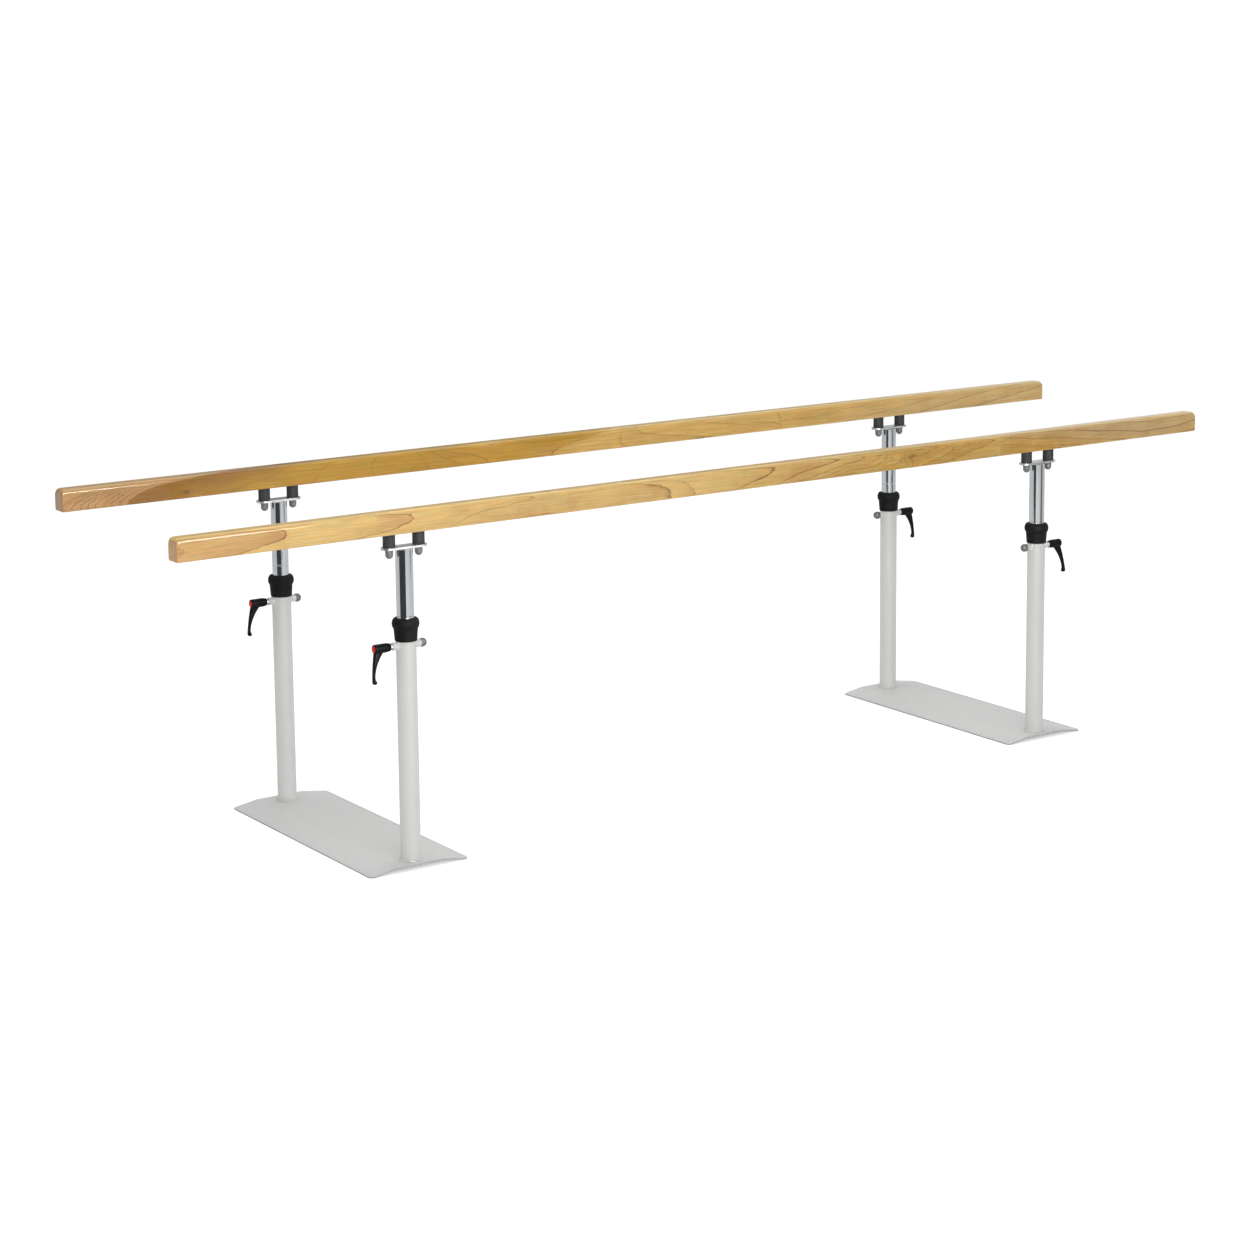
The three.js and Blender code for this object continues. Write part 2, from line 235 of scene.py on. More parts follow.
alongX = Matrix.Rotation(math.pi / 2, 4, "Y")
bodyOf = {name: body_of(node)[0] for name, node in frame["nodes"].items()}


def addPiece(node, form, place, finish, sharpAngle=32):
    mesh = moved(form, place)
    mesh.materials.clear()
    mesh.materials.append(finishes[finish])
    for face in mesh.polygons:
        face.use_smooth = True
        face.material_index = 0
    mesh.set_sharp_from_angle(angle=math.radians(sharpAngle))
    mesh = worked(mesh, ("WEIGHTED_NORMAL", {"keep_sharp": True}))  # broad faces stay flat beside rounded edges
    piece = linked(f"{node}_look", mesh)
    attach(piece, bodyOf[node])
    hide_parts(node)


# Shader helpers. A signal is a value in a node tree; arithmetic on it adds the nodes to that tree.
class Signal:
    def __init__(self, tree, socket):
        self.tree = tree
        self.socket = socket

    def __add__(self, other):
        return calc("ADD", self, other)

    def __sub__(self, other):
        return calc("SUBTRACT", self, other)

    def __rsub__(self, other):
        return calc("SUBTRACT", other, self)

    def __mul__(self, other):
        return calc("MULTIPLY", self, other)

    def __truediv__(self, other):
        return calc("DIVIDE", self, other)

    def __rtruediv__(self, other):
        return calc("DIVIDE", other, self)

    def __abs__(self):
        return calc("ABSOLUTE", self)


def wire(value, socket):
    if isinstance(value, Signal):
        value.tree.links.new(value.socket, socket)
    else:
        socket.default_value = value


def signalsOf(tree, sockets):
    return {socket.name: Signal(tree, socket) for socket in sockets}


def nodeOf(kind, inputs, output=0, tree=None, **settings):
    # a node in the given tree, or in the one that its inputs come from
    tree = tree or next(value.tree for value in inputs.values() if isinstance(value, Signal))
    node = tree.nodes.new(f"ShaderNode{kind}")
    for label, value in settings.items():
        setattr(node, label, value)
    for label, value in inputs.items():
        wire(value, node.inputs[label])
    return Signal(tree, node.outputs[output])


def calc(operation, *values, clamped=False):
    return nodeOf("Math", dict(enumerate(values)), operation=operation, use_clamp=clamped)


def scaled(value, factor, start):
    return calc("MULTIPLY_ADD", value, factor, start)


def remap(value, low, high, toLow=0.0, toHigh=1.0, smooth=True):
    return nodeOf("MapRange", dict(enumerate((value, low, high, toLow, toHigh))),
                  interpolation_type="SMOOTHSTEP" if smooth else "LINEAR")


def stretched(vector, factors):
    return nodeOf("VectorMath", {0: vector, 1: factors}, operation="MULTIPLY")


def shifted(vector, offset):
    return nodeOf("VectorMath", {0: vector, 1: offset}, operation="ADD")


def noiseAt(vector, scale, detail=2.0, roughness=0.5):
    return nodeOf("TexNoise", {"Vector": vector, "Scale": scale, "Detail": detail, "Roughness": roughness})


def blended(factor, first, second, kind="MIX"):
    return nodeOf("Mix", {0: factor, 6: first, 7: second}, 2, data_type="RGBA", blend_type=kind)


def packedVector(x, y, z):
    return nodeOf("CombineXYZ", {0: x, 1: y, 2: z})


def shaded(colour, shade):
    return blended(1.0, colour, packedVector(shade, shade, shade), "MULTIPLY")


def parts(vector):
    node = vector.tree.nodes.new("ShaderNodeSeparateXYZ")
    wire(vector, node.inputs[0])
    return [Signal(vector.tree, socket) for socket in node.outputs]


def geometryOf(tree, output):
    return parts(nodeOf("NewGeometry", {}, output, tree))


def newGroup(name, inputs, outputs):
    # takes a place and the named numbers, and gives numbers
    tree = bpy.data.node_groups.new(name, "ShaderNodeTree")
    tree.interface.new_socket("Place", in_out="INPUT", socket_type="NodeSocketVector")
    for label, value in inputs.items():
        socket = tree.interface.new_socket(label, in_out="INPUT", socket_type="NodeSocketFloat")
        socket.default_value = value
    for label in outputs:
        tree.interface.new_socket(label, in_out="OUTPUT", socket_type="NodeSocketFloat")
    given = signalsOf(tree, tree.nodes.new("NodeGroupInput").outputs)
    result = tree.nodes.new("NodeGroupOutput").inputs
    return tree, given, result


def placed(group, place, **values):
    # a group in a material, with its values by name
    node = place.tree.nodes.new("ShaderNodeGroup")
    node.node_tree = group
    for label, value in {"Place": place, **values}.items():
        wire(value, node.inputs[label])
    return signalsOf(place.tree, node.outputs)


def newFinish(name, **values):
    # a material, its shader, and the place on the piece in millimetres
    material = bpy.data.materials.new(name)
    material.use_nodes = True
    tree = material.node_tree
    shader = tree.nodes["Principled BSDF"]
    for label, value in values.items():
        shader.inputs[label.replace("_", " ")].default_value = value
    place = stretched(nodeOf("TexCoord", {}, "Object", tree), (1000, 1000, 1000))
    return material, shader, place


def surfaced(shader, colour, roughness, height, bump):
    # a bump is a depth in millimetres and a strength
    depth, strength = bump
    wire(colour, shader.inputs["Base Color"])
    wire(roughness, shader.inputs["Roughness"])
    relief = nodeOf("Bump", {"Strength": strength, "Distance": depth / 1000, "Height": height})
    wire(relief, shader.inputs["Normal"])


def rgb(red, green, blue):
    def linear(value):
        share = value / 255
        return share / 12.92 if share <= 0.04045 else ((share + 0.055) / 1.055) ** 2.4
    return (linear(red), linear(green), linear(blue), 1)


# Shared effects: first the clouds and finer spots in a tone
mottling, given, result = newGroup("mottling", {"Size": 20.0, "Seed": 0.0}, ["Tone", "Fine"])
spot = shifted(given["Place"], packedVector(given["Seed"], given["Seed"] * 1.7, 0.0))
for label, count, detail, roughness in (("Tone", 1.0, 3.0, 0.55), ("Fine", 9.0, 2.0, 0.6)):
    wire(remap(noiseAt(spot, count / given["Size"], detail, roughness), 0.3, 0.7), result[label])

# fine grains of moulded or sprayed surfaces: their height, and a mask of paler specks
graining, given, result = newGroup("graining", {"Size": 1.0, "Specks": 0.3}, ["Height", "Speck"])
rate = 1.0 / given["Size"]
grains = noiseAt(given["Place"], rate, 3.0, 0.6)
cells = graining.nodes.new("ShaderNodeTexVoronoi")
wire(given["Place"], cells.inputs["Vector"])
wire(rate, cells.inputs["Scale"])
cell = signalsOf(graining, cells.outputs)
dots = remap(cell["Distance"], 0.5, 0.15)
rare = calc("LESS_THAN", parts(cell["Color"])[0], given["Specks"])
wire(scaled(dots, 0.35, grains * 0.65), result["Height"])
wire(dots * rare, result["Speck"])

# thin rubbed marks, mostly along Z
scuffing, given, result = newGroup("scuffing", {"Length": 30.0, "Amount": 0.5}, ["Mask"])
rate = 1.0 / given["Length"]
rubbed = noiseAt(stretched(given["Place"], (14, 14, 1)), rate, 2.0, 0.7)
patches = noiseAt(given["Place"], rate * 0.5, 1.0)
wire(remap(rubbed, 0.62, 0.72) * remap(patches, 0.45, 0.65) * given["Amount"], result["Mask"])

# a darker band round a height, such as at the foot of a tube, broken up by noise
heightDarkening, given, result = newGroup("heightDarkening", {"Height": 12.0, "Reach": 10.0}, ["Mask"])
away = abs(parts(given["Place"])[2] - given["Height"]) / given["Reach"]
broken = noiseAt(given["Place"], 0.12, 3.0, 0.6)
wire(remap(away, 1.0, 0.0) * remap(broken, 0.3, 0.7, 0.35, 1.0), result["Mask"])

# growth layers of a sawn bar along X: how far along it a layer would meet the heart line, how steeply
# it runs there, how far it lies from the tip of its arch, and the finer figure of the wood
barFigure = {  # squeezed along the bar, scale, detail, roughness, and the noise that counts as none and as full
    "Fibre": (0.016, 0.6, 4.0, 0.68, 0.3, 0.7), "Streak": (0.03, 0.3, 4.0, 0.7, 0.36, 0.64),
    "Fleck": (0.12, 1.3, 2.0, 0.6, 0.62, 0.74), "Warm": (0.16, 0.11, 3.0, 0.55, 0.36, 0.64),
}
barWaves = {"swayScale": 0.0045, "sway": 24.0, "broadScale": 0.0105, "fineScale": 0.055, "fine": 0.24,
            "fineByKnot": 0.4, "jitterScale": 0.15, "jitter": 16.0, "steepest": 7.0}
barGrain, given, result = newGroup(
    "barGrain",
    {"Face Y": 0.0, "Heart Z": 0.0, "Arch": 0.1, "Slant": 0.0, "Slope": 25.0, "Wander": 90.0, "Seed": 0.0,
     "Wave": 0.0, "Knotty X": 500.0, "Knotty Reach": 200.0},
    ["Along", "Steep", "Apart", *barFigure],
)
x, y, z = parts(given["Place"])
sway = noiseAt(packedVector(x, given["Seed"], 0.0), barWaves["swayScale"]) - 0.5
rise = z - scaled(sway, barWaves["sway"], given["Heart Z"])
bend = rise * rise * given["Arch"]
lean = (y - given["Face Y"]) * given["Slope"]
tilt = (z - (given["Heart Z"] + given["Wave"])) * given["Slant"]
knotty = remap(abs(x - given["Knotty X"]), given["Knotty Reach"], 0.0)
flat = packedVector(x, scaled(y, 0.12, given["Seed"]), z * 1.7)
broad = noiseAt(flat, barWaves["broadScale"], 2.0, 0.45) - 0.5
fine = noiseAt(flat, barWaves["fineScale"], 3.0, 0.6) - 0.5
fine = fine * scaled(knotty, barWaves["fineByKnot"], barWaves["fine"])
jitter = noiseAt(stretched(flat, (0.4, 1, 1)), barWaves["jitterScale"], 2.0, 0.55) - 0.5
drift = scaled(jitter, barWaves["jitter"], (broad + fine) * given["Wander"])
wire(x + bend + (lean + tilt) + drift, result["Along"])
climb = abs(rise * given["Arch"] * 2.0)
wire(climb, result["Apart"])
climb = climb + abs(given["Slant"]) + scaled(knotty, 2.5, 1.2)
wire(calc("MINIMUM", climb, barWaves["steepest"]), result["Steep"])
seeded = shifted(given["Place"], packedVector(0.0, given["Seed"], 0.0))
for label, (squeeze, scale, detail, roughness, none, full) in barFigure.items():
    figure = remap(noiseAt(stretched(seeded, (squeeze, 1, 1)), scale, detail, roughness), none, full)
    if label == "Warm":  # strongest among the knots
        figure = scaled(figure - 0.5, scaled(knotty, 0.6, 0.4), 0.5)
    wire(figure, result[label])

# a knot: how far it pushes the layers aside, its dark heart and the ring round it
knotMark, given, result = newGroup(
    "knotMark", {"X": 0.0, "Z": 0.0, "Wide": 20.0, "High": 12.0, "Push": 100.0}, ["Push", "Heart", "Ring"])
x, _, z = parts(given["Place"])
across = (x - given["X"]) / given["Wide"]
up = (z - given["Z"]) / given["High"]
uneven = (noiseAt(given["Place"], 0.11, 2.0) - 0.5) * 0.9
far = calc("SQRT", across * across + up * up) + uneven
wire(remap(far, 2.6, 0.3) * given["Push"], result["Push"])
wire(remap(far, 0.75, 0.25), result["Heart"])
rings = calc("PINGPONG", far * 2.2, 1.0)
wire(remap(rings, 0.3, 0.05) * remap(far, 1.9, 1.2), result["Ring"])
print("shared effects built:", len(bpy.data.node_groups))

# Varnished wood. Places along a bar count in millimetres from its left end.
# A zone is a tone, where it starts and how softly; a knot is its X, Z, width, height, push and darkness.
nearWood = {
    "zones": [((192, 142, 86), 0, 0), ((205, 162, 98), 0, 4), ((217, 181, 110), 264, 4), ((210, 176, 106), 1400, 160),
              ((198, 160, 80), 1930, 160), ((202, 172, 114), 2400, 280)],
    "lines": [264, 578, 830, 1238, 1312, 1566, 1735, 1838, 1893, 1932, 1946, 1975, 2010, 2070, 2101, 2122, 2177, 2250,
              2420, 2640, 2900],
    "lineStrength": [(0, 0.7), (262, 0.95), (600, 0.95), (760, 0.45), (900, 0.45), (1100, 0.65), (1566, 0.95),
                     (1735, 0.8), (1838, 0.5), (1946, 0.55), (2122, 0.5), (2250, 0.8), (2420, 0.65), (2640, 0.8),
                     (2900, 0.6), (3000, 0.8)],
    "lineWidth": [(0, 1), (1700, 1.2), (1830, 2.5), (1940, 3.5), (2122, 3.5), (2170, 1.8), (2895, 1.6), (2905, 0.3),
                  (3000, 0.3)],
    "slant": [(0, 4.8), (30, 4.8), (120, 0), (640, 0), (760, -9), (920, -9), (1050, -1), (1200, 2.4), (1340, 1),
              (1500, -1), (1580, -1.5), (1640, -5.5), (1800, -5.5), (1880, -0.5), (1990, -0.5), (2030, -4),
              (2285, -4), (2310, 10), (3000, 10)],
    "arch": [(0, 0.2), (30, 0.2), (120, 0.1), (640, 0.1), (800, 0.01), (1000, 0.03), (1150, 0.02), (1340, 0.02),
             (1500, 0.1), (1590, 0.09), (1650, 0.0), (1800, 0.0), (1900, 0.05), (2030, 0.0), (3000, 0.01)],
    "wave": [(0, 0), (2810, 0), (2870, 7), (2940, 19), (3000, 30)],
    "knots": [(1998, 787, 14, 9, 60, 0.55), (2136, 793, 4, 12, 30, 0.35)],
    "lineTone": (118, 68, 34), "haloTone": (178, 116, 58), "endTone": (190, 138, 88), "knotTone": (122, 76, 34),
    # the top tint is painted light on the bar's upward faces
    "paintedTopShading": (1.04, 1.12, 1.05, 1), "ringShade": 0.07, "topLines": 0.75,
    "grain": {"Face Y": -319.5, "Heart Z": 795, "Slope": 26, "Wander": 85, "Seed": 3.0, "Knotty X": 470,
              "Knotty Reach": 250},
}
rearWood = {
    "zones": [((194, 151, 92), 0, 0), ((142, 97, 17), 160, 3), ((187, 141, 36), 380, 190),
              ((213, 173, 98), 1310, 115), ((213, 179, 115), 2300, 300)],
    "lines": [10, 27, 46, 63, 82, 103, 120, 141, 160, 430, 640, 810, 960, 1053, 1133, 1317, 1560, 1800, 2050, 2330,
              2560, 2760],
    "lineStrength": [(0, 0.8), (158, 0.8), (190, 0.3), (900, 0.3), (1053, 0.45), (1133, 0.65), (1317, 0.7),
                     (1560, 0.35), (1800, 0.3), (2300, 0.3), (2760, 0.6), (3000, 0.5)],
    "lineWidth": [(0, 8), (156, 8), (166, 1), (950, 1), (1053, 2.5), (1133, 2.5), (1317, 1), (3000, 1.3)],
    "slant": [(0, 0), (200, 0), (520, -2.5), (760, 1), (900, 0), (1500, 0), (1600, 7), (1950, 8), (2150, -7),
              (2500, -8), (2700, -5), (2850, -6), (3000, -6)],
    "arch": [(0, -0.05), (400, -0.05), (900, -0.01), (1000, 0.08), (1150, 0.08), (1260, -0.1), (1420, -0.1),
             (1560, -0.02), (3000, -0.02)],
    "wave": [(0, 0), (1600, 0), (2000, 8), (3000, 0)],
    "knots": [(308, 796, 20, 11, 60, 0.6), (1784, 781.5, 36, 5, 0, 0.95)],
    "lineTone": (116, 70, 32), "haloTone": (162, 106, 44), "endTone": (150, 112, 80), "knotTone": (92, 56, 26),
    # the top tint is painted shade on the bar's upward faces
    "paintedTopShading": (0.89, 0.97, 1.08, 1), "ringShade": 0.06, "topLines": 0.15,
    "grain": {"Face Y": 277.5, "Heart Z": 783, "Slope": -6.5, "Wander": 34, "Seed": 11.0, "Knotty X": -1150,
              "Knotty Reach": 150},
}
# Both bars: the varnish, how far the finer figure darkens and brightens the wood, how strongly the halos,
# the cores of the lines and a knot's rings show, and how strongly lines and the sawn tone show on the ends.
varnish = {"roughness": 0.42, "sheen": 0.12, "coat": 0.65, "coatRoughness": 0.05, "bump": (0.04, 0.3),
           "warmTint": (1.06, 0.94, 0.82, 1), "coolTint": (0.95, 1.06, 1.18, 1),
           "shades": {"Fibre": (0.87, 1.11), "Streak": (0.89, 1.1), "Fleck": (1.0, 0.93)},
           "cloudSize": 60.0, "cloud": (0.95, 1.04), "halo": 0.5, "core": 0.92, "rings": 0.6,
           "sawnLines": 0.6, "sawnTone": 0.75}
barLength = 3000.0


def curveOf(value, points):
    # a table of values against places along a bar
    low, high = min(item for _, item in points), max(item for _, item in points)
    node = value.tree.nodes.new("ShaderNodeFloatCurve")
    curve = node.mapping.curves[0]
    for index, (place, item) in enumerate(points):
        spot = (place / barLength, (item - low) / (high - low))
        if index in (0, len(points) - 1):
            curve.points[0 if index == 0 else -1].location = spot
        else:
            curve.points.new(*spot)
    for point in curve.points:
        point.handle_type = "VECTOR"
    node.mapping.update()
    wire(value / barLength, node.inputs["Value"])
    return scaled(Signal(value.tree, node.outputs[0]), float(high - low), float(low))


def woodFinish(name, wood):
    finish, shader, place = newFinish(name, Roughness=varnish["roughness"], Specular_IOR_Level=varnish["sheen"],
                                      Coat_Weight=varnish["coat"], Coat_Roughness=varnish["coatRoughness"])
    half = barLength / 2
    fromLeft = parts(place)[0] + half
    bends = {label: curveOf(fromLeft, wood[label.lower()]) for label in ("Slant", "Arch", "Wave")}
    grain = placed(barGrain, place, **bends, **wood["grain"])
    along = grain["Along"] + half
    heart, ring = 0.0, 0.0
    for knotX, knotZ, knotWide, knotHigh, push, dark in wood["knots"]:
        knot = placed(knotMark, place, X=knotX - half, Z=knotZ, Wide=knotWide, High=knotHigh, Push=push)
        along = along + knot["Push"]
        heart = calc("MAXIMUM", heart, knot["Heart"] * dark)
        ring = calc("MAXIMUM", ring, knot["Ring"] * dark)

    # the table of lines repeats beyond the bar's ends
    laps = along / barLength
    lap = calc("FLOOR", laps)
    withinLap = (laps - lap) * barLength
    count = len(wood["lines"]) + 1
    counted = [(0, 0)] + [(spot, index) for index, spot in enumerate(wood["lines"], 1)] + [(barLength, count)]
    layer = scaled(lap, float(count), curveOf(withinLap, counted))
    layerTone = nodeOf("TexWhiteNoise", {"W": calc("FLOOR", layer) + 0.5}, noise_dimensions="1D")
    normal = geometryOf(place.tree, "Normal")
    facing, flatTop = abs(normal[0]), abs(normal[2])
    steep = scaled(flatTop, abs(wood["grain"]["Slope"]) * 0.3, grain["Steep"])
    steep = steep * curveOf(withinLap, wood["lineWidth"])
    strength = curveOf(withinLap, wood["lineStrength"]) * remap(flatTop, 0.3, 0.9, 1.0, wood["topLines"])
    strength = strength * remap(grain["Apart"], 1.5, 5.0, 1.0, 0.5)  # fades beside a tip
    reach = (1.0 - calc("FRACT", layer)) / (steep * 0.015)
    line = remap(reach, 1.0, 0.1) * strength
    halo = remap(reach, 13.0, 0.0) * strength * remap(noiseAt(place, 0.02, 2.0), 0.35, 0.6, 0.35, 1.0)

    colour = rgb(*wood["zones"][0][0])
    for tone, start, softness in wood["zones"][1:]:
        ahead = remap(along, float(start - softness), float(start + softness))
        colour = blended(ahead, colour, rgb(*tone))
    shade = scaled(layerTone, wood["ringShade"], 1 - wood["ringShade"] / 2)
    cloud = placed(mottling, stretched(place, (0.35, 1, 1)), Size=varnish["cloudSize"], Seed=wood["grain"]["Seed"])
    figures = [(grain[label], limits) for label, limits in varnish["shades"].items()]
    for figure, limits in figures + [(cloud["Tone"], varnish["cloud"])]:
        shade = shade * remap(figure, 0.0, 1.0, *limits, smooth=False)
    colour = shaded(colour, shade)
    hue = blended(grain["Warm"], varnish["coolTint"], varnish["warmTint"])
    colour = blended(1.0, colour, hue, "MULTIPLY")
    # painted light and shade: upward faces are tinted lighter on the near bar and darker, bluer on the rear bar
    colour = blended(remap(flatTop, 0.3, 0.9), colour, wood["paintedTopShading"], "MULTIPLY")
    for share, tone in ((halo * varnish["halo"], "haloTone"), (line * varnish["core"], "lineTone"),
                        (ring * varnish["rings"], "lineTone"), (heart, "knotTone")):
        colour = blended(share, colour, rgb(*wood[tone]))
    sawn = blended(halo * varnish["sawnLines"], rgb(*wood["endTone"]), rgb(*wood["lineTone"]))
    colour = blended(remap(facing, 0.7, 0.98, 0.0, varnish["sawnTone"]), colour, sawn)
    roughness = remap(grain["Fibre"], 0.0, 1.0, varnish["roughness"] - 0.05, varnish["roughness"] + 0.06)
    surfaced(shader, colour, roughness, grain["Fibre"] - line * 0.4, varnish["bump"])
    return finish


# Coated, plated, rubber and plastic finishes
# Tones and sizes of the marks on coats; the edge tone is painted shade, laid on faces that turn away from straight up
coatMarksAndPaintedShade = {"heightDark": (112, 110, 104), "scuff": (168, 167, 165), "edge": (132, 132, 131), "speckShade": 0.82,
             "specks": 0.45, "scuffLength": 26.0}


def coatFinish(name, coating):
    finish, shader, place = newFinish(name, Roughness=coating["roughness"], Specular_IOR_Level=coating["gloss"])
    mottle = placed(mottling, place, Size=coating["cloudSize"], Seed=4.0)
    grain = placed(graining, place, Size=coating["grainSize"], Specks=coatMarksAndPaintedShade["specks"])
    scuff = placed(scuffing, place, Length=coatMarksAndPaintedShade["scuffLength"], Amount=coating["scuffs"])
    heightDark = placed(heightDarkening, place, Height=coating["darkHeight"], Reach=coating["darkReach"])
    upward = abs(geometryOf(place.tree, "Normal")[2])
    tone = coating["tone"]
    colour = shaded(rgb(*tone), remap(mottle["Tone"], 0.0, 1.0, 1 - coating["cloud"], 1.0, smooth=False))
    for share, mark in ((grain["Speck"] * coating["speckle"], [value * coatMarksAndPaintedShade["speckShade"] for value in tone]),
                        (heightDark["Mask"] * coating["heightDark"], coatMarksAndPaintedShade["heightDark"]),
                        (scuff["Mask"], coatMarksAndPaintedShade["scuff"]),
                        # painted shade: faces that turn away from straight up are darkened towards the edge tone
                        (remap(upward, 0.75, 0.3, 0.0, coating["paintedSideShade"]), coatMarksAndPaintedShade["edge"])):
        colour = blended(share, colour, rgb(*mark))
    roughness = remap(mottle["Fine"], 0.0, 1.0, coating["roughness"] - 0.05, coating["roughness"] + 0.07)
    surfaced(shader, colour, roughness, grain["Height"], coating["bump"])
    return finish


coatings = {
    "whiteCoat": {"tone": (214, 214, 212), "roughness": 0.42, "gloss": 0.3, "cloudSize": 60.0, "cloud": 0.02,
                  "grainSize": 1.6, "speckle": 0.05, "bump": (0.05, 0.35), "scuffs": 0.10, "darkHeight": 12.0,
                  "darkReach": 9.0, "heightDark": 0.35, "paintedSideShade": 0.0},
    # the grey coat paints shade on its sides, edges and steep folds
    "greyCoat": {"tone": (206, 206, 206), "roughness": 0.58, "gloss": 0.3, "cloudSize": 45.0, "cloud": 0.015,
                 "grainSize": 1.5, "speckle": 0.5, "bump": (0.09, 0.6), "scuffs": 0.08, "darkHeight": 0.0,
                 "darkReach": 4.0, "heightDark": 0.6, "paintedSideShade": 0.5},
}


plateMarks = {"smudgeSize": 26.0, "darkest": 0.95, "scuffLength": 40.0, "scuffHaze": 0.2, "bump": (0.02, 0.15)}


def platedFinish(name, plating):
    finish, shader, place = newFinish(name, Roughness=plating["roughness"], Metallic=1.0)
    smudge = placed(mottling, stretched(place, (1, 1, 0.4)), Size=plateMarks["smudgeSize"], Seed=9.0)
    scuff = placed(scuffing, place, Length=plateMarks["scuffLength"], Amount=plating["scuffs"])
    shade = remap(smudge["Tone"], 0.0, 1.0, plateMarks["darkest"], 1.0, smooth=False)
    haze = scaled(smudge["Fine"], plating["smudge"], plating["roughness"]) + scuff["Mask"] * plateMarks["scuffHaze"]
    surfaced(shader, shaded(rgb(*plating["tone"]), shade), haze, smudge["Tone"], plateMarks["bump"])
    return finish


platings = {
    "chrome": {"tone": (176, 179, 181), "roughness": 0.05, "smudge": 0.05, "scuffs": 0.12},
    "plateSteel": {"tone": (180, 182, 184), "roughness": 0.3, "smudge": 0.12, "scuffs": 0.4},
    "screwSteel": {"tone": (172, 173, 174), "roughness": 0.34, "smudge": 0.15, "scuffs": 0.4},
}


def mouldedFinish(name, stuff):
    finish, shader, place = newFinish(name, Roughness=stuff["roughness"], Specular_IOR_Level=stuff["gloss"])
    grain = placed(graining, place, Size=stuff["grainSize"], Specks=stuff["specks"])
    mottle = placed(mottling, place, Size=stuff["cloudSize"], Seed=2.0)
    shade = remap(mottle["Tone"], 0.0, 1.0, 1 - stuff["cloud"], 1 + stuff["cloud"], smooth=False)
    colour = blended(grain["Speck"] * stuff["speckShare"], shaded(rgb(*stuff["tone"]), shade),
                     rgb(*stuff["speckTone"]))
    roughness = remap(mottle["Fine"], 0.0, 1.0, stuff["roughness"] - 0.06, stuff["roughness"] + 0.08)
    surfaced(shader, colour, roughness, grain["Height"], stuff["bump"])
    return finish


mouldings = {
    "collarBlack": {"tone": (15, 15, 16), "roughness": 0.62, "gloss": 0.1, "grainSize": 1.1, "bump": (0.12, 0.7),
                    "cloudSize": 24.0, "cloud": 0.18, "specks": 0.3, "speckShare": 0.09, "speckTone": (96, 96, 96)},
    "bufferGrey": {"tone": (56, 58, 60), "roughness": 0.66, "gloss": 0.15, "grainSize": 1.0, "bump": (0.08, 0.5),
                   "cloudSize": 20.0, "cloud": 0.12, "specks": 0.2, "speckShare": 0.14,
                   "speckTone": (120, 122, 124)},
    "leverBlack": {"tone": (10, 11, 12), "roughness": 0.4, "gloss": 0.08, "grainSize": 0.7, "bump": (0.07, 0.5),
                   "cloudSize": 18.0, "cloud": 0.12, "specks": 0.15, "speckShare": 0.08, "speckTone": (92, 93, 96)},
    "capGrey": {"tone": (104, 106, 104), "roughness": 0.5, "gloss": 0.45, "grainSize": 1.0, "bump": (0.1, 0.6),
                "cloudSize": 12.0, "cloud": 0.14, "specks": 0.4, "speckShare": 0.3, "speckTone": (168, 170, 168)},
    "buttonRed": {"tone": (208, 24, 22), "roughness": 0.34, "gloss": 0.25, "grainSize": 0.9, "bump": (0.04, 0.4),
                  "cloudSize": 9.0, "cloud": 0.1, "specks": 0.15, "speckShare": 0.15, "speckTone": (214, 110, 100)},
    "guideWhite": {"tone": (214, 210, 200), "roughness": 0.5, "gloss": 0.4, "grainSize": 1.2, "bump": (0.06, 0.4),
                   "cloudSize": 22.0, "cloud": 0.06, "specks": 0.15, "speckShare": 0.15,
                   "speckTone": (178, 174, 166)},
}
woods = {"nearVarnish": nearWood, "rearVarnish": rearWood}
finishes = {name: build(name, settings)
            for build, table in ((coatFinish, coatings), (platedFinish, platings), (mouldedFinish, mouldings),
                                 (woodFinish, woods))
            for name, settings in table.items()}
print("finishes built:", len(finishes))

# Handrails
handrail = {"length": barLength, "width": 42, "height": 52, "topRadius": 10, "footRadius": 3, "endRadius": 3.5,
            "endTopRadius": 11, "sideEdges": (0.35, 0.6), "topEdge": 0.25, "unevenness": 0.12, "waves": (260, 60),
            "evenEnd": 30, "step": 30}


def roundEnd(radius, left):
    # how far a face draws in at a distance left from the end
    return radius - math.sqrt(max(0, radius ** 2 - (radius - left) ** 2)) if left < radius else 0


